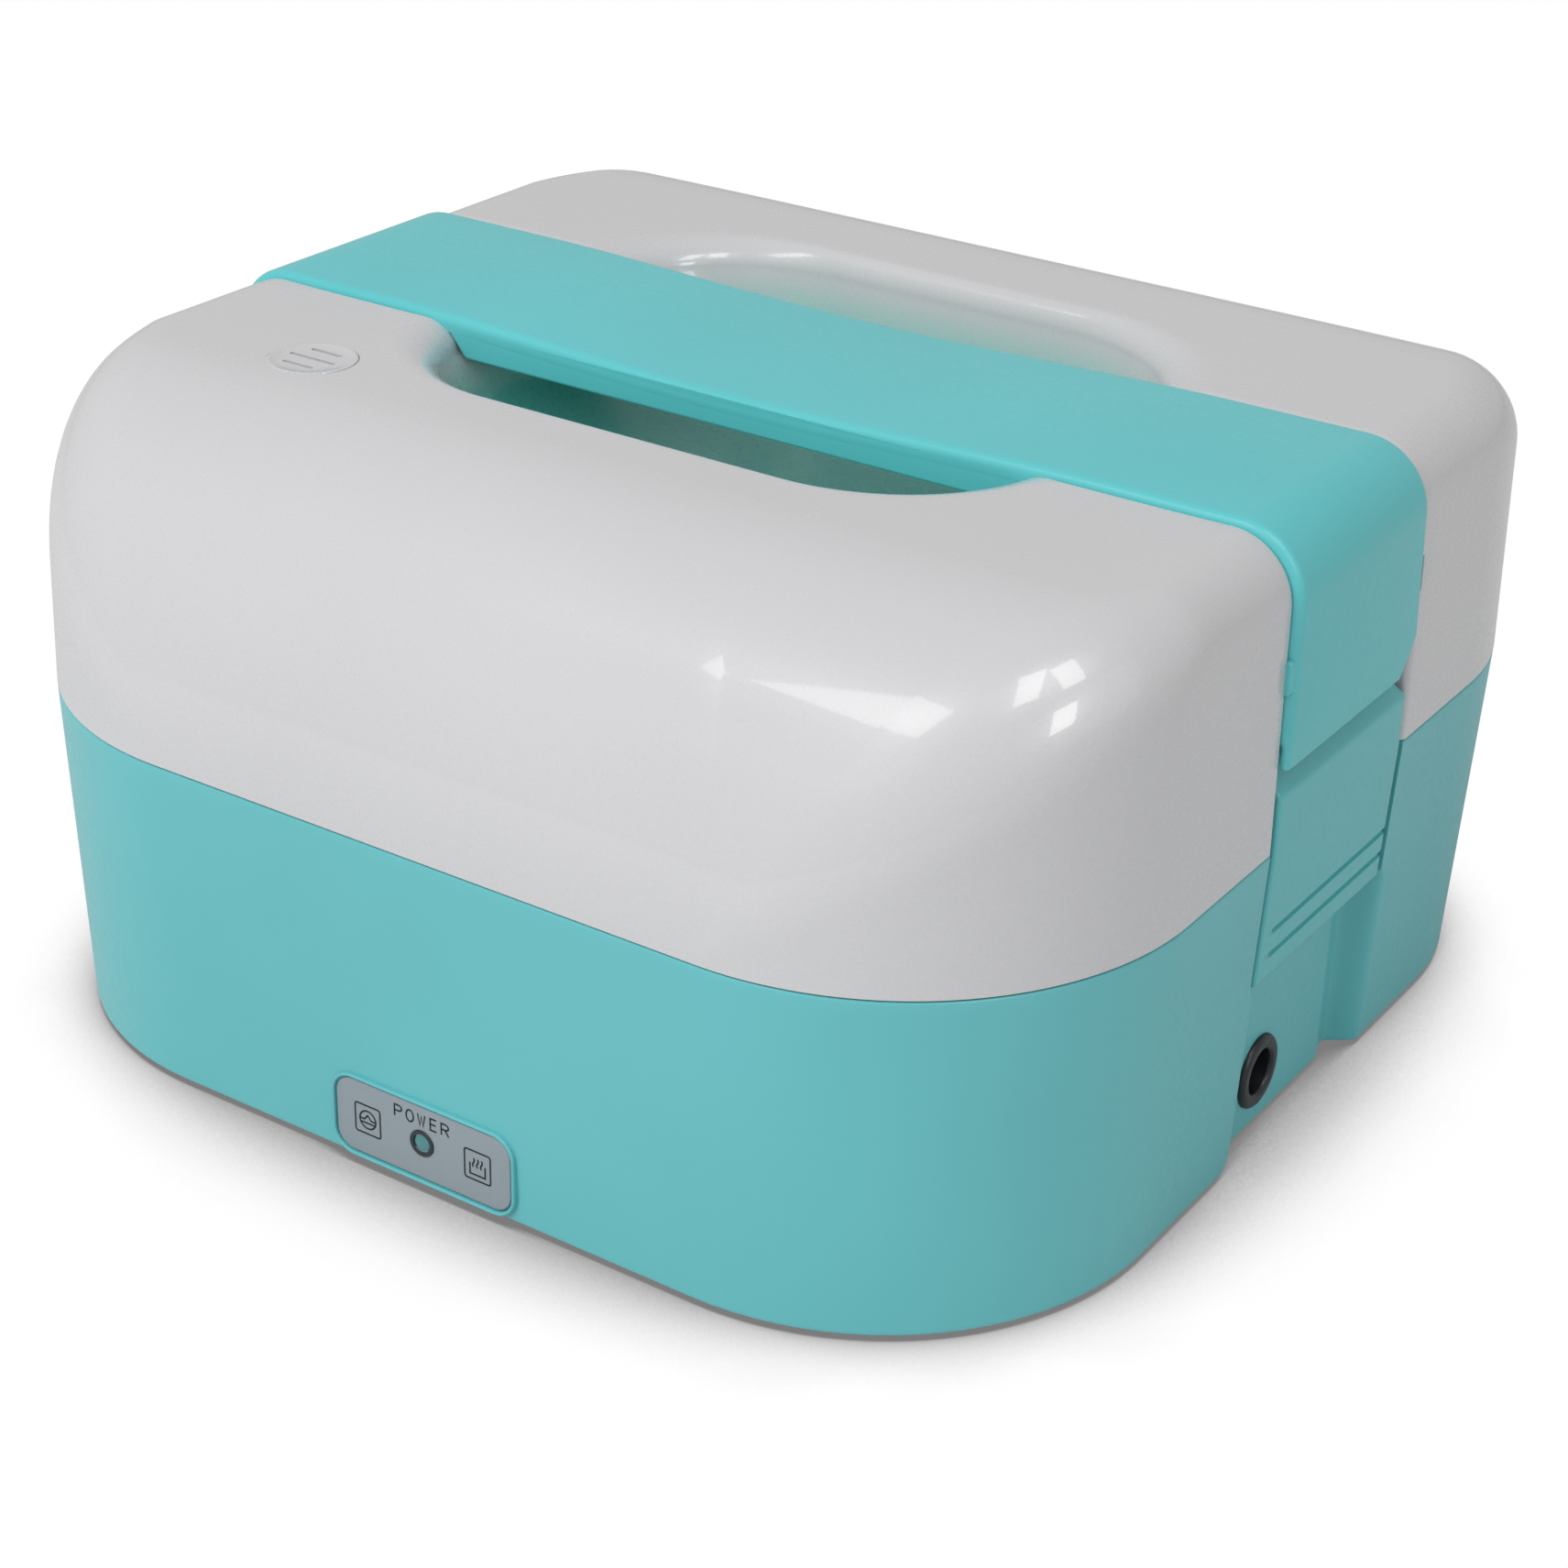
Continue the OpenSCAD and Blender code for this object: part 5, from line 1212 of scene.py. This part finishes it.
def plate_marks():
    """The plate's plain marks as lines: two framed signs and the word over the lamp that says what it shows."""
    turn = np.linspace(0, TURN, 33)
    wave = np.linspace(-1, 1, 7)
    lines = []
    for u in (-12.6, 12.6):
        frame_line = rounded_rectangle(2.9, 3.0, 0.5, 3)[0]
        lines.append(np.concatenate([frame_line, frame_line[:1]]) + [u, 0])
    lines.append(np.column_stack([1.85 * np.cos(turn), 1.85 * np.sin(turn)]) + [-12.6, 0])
    lines.append(np.array([[-14.3, 0.0], [-13.4, 0.0], [-12.6, 0.95], [-11.8, 0.0], [-10.9, 0.0]]))
    lines.append(np.array([[-14.2, -0.7], [-11.0, -0.7]]))
    lines.append(np.array([[10.9, 0.4], [10.9, -1.9], [14.3, -1.9], [14.3, 0.4]]))
    for k in (-1, 0, 1):
        lines.append(np.column_stack([12.6 + k * 0.9 + 0.2 * np.sin(wave * 3), 0.55 + 0.95 * wave]))
    size, step = np.array([1.65, 2.4]), 2.68
    bowl = np.column_stack([0.55 + 0.45 * np.sin(np.linspace(0, np.pi, 9)), 0.75 + 0.25 * np.cos(np.linspace(0, np.pi, 9))])
    round_o = np.column_stack([0.5 + 0.5 * np.sin(turn), 0.5 + 0.5 * np.cos(turn)])
    p_line = np.concatenate([[[0, 0], [0, 1]], bowl, [[0, 0.5]]])
    letters = (
        [p_line], [round_o], [[[0, 1], [0.27, 0], [0.5, 0.85], [0.73, 0], [1, 1]]],
        [[[0.95, 1], [0.1, 1], [0.1, 0], [0.95, 0]], [[0.1, 0.52], [0.85, 0.52]]],
        [p_line, [[0.5, 0.5], [1, 0]]],
    )
    for k, strokes in enumerate(letters):
        start = np.array([(k - 2) * step - size[0] / 2, 3.6])
        lines += [np.asarray(stroke, float) * size + start for stroke in strokes]
    return lines


class LUNCHBOX_OT_inlet(bpy.types.Operator):
    """Makes the power inlet with its thick rounded flange and deep opening."""
    bl_idname = "lunchbox.inlet"
    bl_label = "Power inlet"

    def execute(self, context):
        f, s = sizes("lunch_box_fittings"), sizes("lunch_box_body")
        front = s.floor_x + f.flange_t
        a = np.linspace(0, RIGHT, 7)
        outer = [(f.inlet_r - 1.1 * (1 - np.cos(t)), front - 1.1 * (1 - np.sin(t))) for t in a]
        inner = [(f.inlet_open + 0.9 - 0.9 * np.sin(t), front - 0.9 + 0.9 * np.cos(t)) for t in a]
        back = f.inlet_floor - 3
        rows = [(5.95, back), (5.95, s.floor_x), (f.inlet_r, s.floor_x)] + outer + inner
        rows += [(f.inlet_open, f.inlet_floor), (f.inlet_open - 0.4, f.inlet_floor - 0.1)]
        grid = capped(turned(rows, 72))
        obj = make_piece("inlet_body", [aimed(grid, "+x", (0, f.inlet_y, f.inlet_z))], "base", loops=(0,))
        crease_by_angle(obj, 40)
        coat_with(obj, library()["black_plastic"])
        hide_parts("inlet_socket")
        return {"FINISHED"}


class LUNCHBOX_OT_vent(bpy.types.Operator):
    """Makes the vent cap: a nearly flush disc with a faint rim and three through slots."""
    bl_idname = "lunchbox.vent"
    bl_label = "Vent cap"

    def execute(self, context):
        f, lid = sizes("lunch_box_fittings"), sizes("lunch_box_lid")
        obj = make_piece("vent_disc", [], "lid")
        fill_disc(obj, f, lid.top_z + f.vent_up, 1.6)
        crease_by_angle(obj, 40)
        coat_with(obj, library()["white_gloss"])
        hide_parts("vent_cap")
        return {"FINISHED"}


def slot_outline(f, v, steps=8):
    """One slot's outline: a straight slot along u at height v whose ends are half circles."""
    reach = np.sqrt(f.slot_reach ** 2 - v ** 2)
    r = f.slot_w / 2
    a = np.linspace(-RIGHT, RIGHT, steps + 1)
    end = np.stack([reach - r + r * np.cos(a), r * np.sin(a)], -1)
    return np.concatenate([end, -end]) + [0, v]


def fill_disc(obj, f, top, thick):
    """Fills the vent's disc round its three slots, rounds its rim and gives it walls and an underside."""
    turn = np.linspace(0, TURN, 64, endpoint=False)
    circle = np.stack([np.cos(turn), np.sin(turn)], -1)
    rim = [(f.vent_r, -thick), (f.vent_r, -0.25), (f.vent_r - 0.1, -0.07), (f.vent_r - 0.3, 0.0),
           (f.vent_r - 0.75, 0.0), (f.vent_r - 0.95, -0.12)]
    work = bmesh.new()

    def ring(points, level):
        place = np.array([f.vent_x, f.vent_y, top + level])
        return [work.verts.new(Vector((np.append(q, 0) + place).tolist()) * MM) for q in points]

    def wall(one, two):
        for k in range(len(one)):
            n = (k + 1) % len(one)
            work.faces.new((one[k], one[n], two[n], two[k]))

    rows = [ring(circle * r, level) for r, level in rim]
    for one, two in zip(rows, rows[1:]):
        wall(one, two)
    slots = [slot_outline(f, v) for v in (-f.slot_step, 0.0, f.slot_step)]
    upper = [ring(line, -0.12) for line in slots]
    lower = [ring(line, -thick) for line in slots]
    for one, two in zip(upper, lower):
        wall(one, two)
    for outer, holes, up in ((rows[-1], upper, 1.0), (rows[0], lower, -1.0)):
        loops = [outer] + holes
        edges = [work.edges.get((a, b)) for loop in loops for a, b in zip(loop, loop[1:] + loop[:1])]
        bmesh.ops.triangle_fill(work, edges=edges, use_beauty=True, normal=(0, 0, up))
    bmesh.ops.recalc_face_normals(work, faces=work.faces)
    for face in work.faces:
        face.smooth = True
    work.to_mesh(obj.data)
    work.free()


class LUNCHBOX_OT_feet(bpy.types.Operator):
    """Makes the four low rubber feet."""
    bl_idname = "lunchbox.feet"
    bl_label = "Feet"

    def execute(self, context):
        f, s = sizes("lunch_box_fittings"), sizes("lunch_box_body")
        a = np.linspace(0, RIGHT, 5)
        rows = [(f.foot_r - 0.5 + 0.5 * np.sin(t), 0.5 - 0.5 * np.cos(t)) for t in a]
        rows += [(f.foot_r, s.floor_z - 0.02), (4.0, s.floor_z - 0.02)]
        grids = [aimed(capped(turned(rows, 40)), "+z", (sx * f.foot_x, sy * f.foot_y, 0))
                 for sx in (-1, 1) for sy in (-1, 1)]
        obj = make_piece("feet", grids, "base", loops=range(4))
        crease_by_angle(obj, 50)
        coat_with(obj, library()["foot_grey"])
        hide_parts("rubber_feet")
        return {"FINISHED"}


def area_light(name, place, target, size, power, colour=(1, 1, 1)):
    """A soft rectangular lamp at place, turned to target."""
    lamp = bpy.data.lights.new(name, "AREA")
    lamp.shape = "RECTANGLE"
    lamp.size, lamp.size_y = size
    lamp.energy = power
    lamp.color = colour
    obj = bpy.data.objects.new(name, lamp)
    bpy.context.scene.collection.objects.link(obj)
    obj.location = place
    obj.rotation_euler = (Vector(target) - Vector(place)).to_track_quat("-Z", "Y").to_euler()
    return obj


SHOULDER = np.array([0.095, -0.09, 0.116])
WINDOWS = (
    ("window_left", (-0.29, -0.50, 0.81), (0.7, 0.32), 2.9),
    ("window_right_a", (0.33, -0.32, 0.88), (0.24, 0.55), 2.6),
    ("window_right_b", (0.49, -0.13, 0.86), (0.24, 0.55), 2.6),
    ("window_rear", (0.82, -0.32, 0.48), (0.25, 0.4), 2.5),
)


class LUNCHBOX_OT_stage(bpy.types.Operator):
    """Makes the floor, the lamps, the world and the camera."""
    bl_idname = "lunchbox.stage"
    bl_label = "Stage"

    def execute(self, context):
        scene = context.scene
        scene.view_settings.view_transform = "Standard"
        self.floor()
        self.world(scene)
        key = area_light("key_lamp", (-0.25, -1.4, 1.45), (0, 0, 0.06), (1.2, 1.2), 24.0)
        key.visible_glossy = False
        area_light("side_lamp", (1.5, -0.2, 0.8), (0, 0, 0.06), (1.0, 1.0), 1.5)
        for name, way, size, power in WINDOWS:
            place = SHOULDER + 1.5 * np.array(way)
            window = area_light(name, place.tolist(), SHOULDER.tolist(), size, power)
            window.visible_diffuse = False
        self.camera(scene)
        return {"FINISHED"}

    def floor(self):
        """A pale floor that shows white to the camera with a painted contact shadow: light that the floor gives off to
        the camera, darkened by ambient occlusion near the box.
        """
        size = 6.0
        corner = np.array([[-1, -1, 0], [1, -1, 0], [1, 1, 0], [-1, 1, 0]], float) * size
        mesh = bpy.data.meshes.new("floor")
        mesh.from_pydata(corner.tolist(), [], [(0, 1, 2, 3)])
        obj = bpy.data.objects.new("floor", mesh)
        bpy.context.scene.collection.objects.link(obj)
        mat, tree, shader = node_tree("floor_paper")
        shader.inputs["Base Color"].default_value = (0.72, 0.72, 0.72, 1)
        shader.inputs["Roughness"].default_value = 0.9
        shader.inputs["Specular IOR Level"].default_value = 0.0
        # painted contact shadow: ambient occlusion near the box darkens the light the camera sees from the floor
        near = tree.nodes.new("ShaderNodeAmbientOcclusion")
        near.samples = 16
        near.inputs["Distance"].default_value = 0.06
        shadow_emission = tree.nodes.new("ShaderNodeEmission")
        tree.links.new(ranged(tree, near.outputs["AO"], SHADOW, 1.0, 0.42, 0.68), shadow_emission.inputs["Color"])
        path = tree.nodes.new("ShaderNodeLightPath")
        mix = tree.nodes.new("ShaderNodeMixShader")
        out = tree.nodes["Material Output"]
        tree.links.new(path.outputs["Is Camera Ray"], mix.inputs[0])
        tree.links.new(shader.outputs[0], mix.inputs[1])
        tree.links.new(shadow_emission.outputs[0], mix.inputs[2])
        tree.links.new(mix.outputs[0], out.inputs["Surface"])
        coat_with(obj, mat)

    def world(self, scene):
        """Even studio light; the camera sees it as white."""
        world = bpy.data.worlds.new("studio")
        world.use_nodes = True
        tree = world.node_tree
        tree.nodes.clear()
        out = tree.nodes.new("ShaderNodeOutputWorld")
        light = tree.nodes.new("ShaderNodeBackground")
        light.inputs["Color"].default_value = (1, 1, 1, 1)
        light.inputs["Strength"].default_value = 0.57
        white = tree.nodes.new("ShaderNodeBackground")
        white.inputs["Strength"].default_value = 1.0
        white.inputs["Color"].default_value = (1, 1, 1, 1)
        path = tree.nodes.new("ShaderNodeLightPath")
        mix = tree.nodes.new("ShaderNodeMixShader")
        tree.links.new(path.outputs["Is Camera Ray"], mix.inputs[0])
        tree.links.new(light.outputs[0], mix.inputs[1])
        tree.links.new(white.outputs[0], mix.inputs[2])
        tree.links.new(mix.outputs[0], out.inputs[0])
        scene.world = world

    def camera(self, scene):
        """The photograph's viewpoint: turned 33.2 degrees, 27.2 degrees above the horizon, rolled 1.6 degrees."""
        az, el, roll, distance = 0.580, 0.474, 0.028, 0.6831
        target = np.array([-0.022878, 0.032918, 0.013708])
        back = np.array([np.sin(az) * np.cos(el), -np.cos(az) * np.cos(el), np.sin(el)])
        right = unit(np.cross(-back, [0, 0, 1]))
        up = np.cross(right, -back)
        x = np.cos(roll) * right + np.sin(roll) * up
        y = -np.sin(roll) * right + np.cos(roll) * up
        matrix = np.eye(4)
        matrix[:3, 0], matrix[:3, 1], matrix[:3, 2], matrix[:3, 3] = x, y, back, target + back * distance
        data = bpy.data.cameras.new("camera")
        data.sensor_width = 36.0
        data.lens = 3452.758 / 1711 * 36.0
        data.clip_start, data.clip_end = 0.01, 50.0
        obj = bpy.data.objects.new("camera", data)
        scene.collection.objects.link(obj)
        obj.matrix_world = Matrix(matrix.tolist())
        scene.camera = obj


OPERATORS = (LUNCHBOX_OT_stage, LUNCHBOX_OT_finishes, LUNCHBOX_OT_inner, LUNCHBOX_OT_base, LUNCHBOX_OT_feet,
             LUNCHBOX_OT_panel, LUNCHBOX_OT_inlet, LUNCHBOX_OT_lid, LUNCHBOX_OT_vent, LUNCHBOX_OT_strap,
             LUNCHBOX_OT_latches)


class LUNCHBOX_PT_sidebar(bpy.types.Panel):
    """Lists the steps that make the lunch box."""
    bl_idname = "LUNCHBOX_PT_sidebar"
    bl_label = "Lunch box"
    bl_space_type = "VIEW_3D"
    bl_region_type = "UI"
    bl_category = "Lunch box"

    def draw(self, context):
        for operator in OPERATORS:
            self.layout.operator(operator.bl_idname)


CLASSES = tuple(GROUPS.values()) + OPERATORS + (LUNCHBOX_PT_sidebar,)


def register():
    for item in CLASSES:
        bpy.utils.register_class(item)
    for name, group in GROUPS.items():
        setattr(bpy.types.Scene, name, bpy.props.PointerProperty(type=group))


def unregister():
    for name in GROUPS:
        delattr(bpy.types.Scene, name)
    for item in reversed(CLASSES):
        bpy.utils.unregister_class(item)


def main():
    """Registers the classes and makes every piece in order."""
    register()
    for operator in OPERATORS:
        group, name = operator.bl_idname.split(".")
        getattr(getattr(bpy.ops, group), name)()


if __name__ == "__main__":
    main()
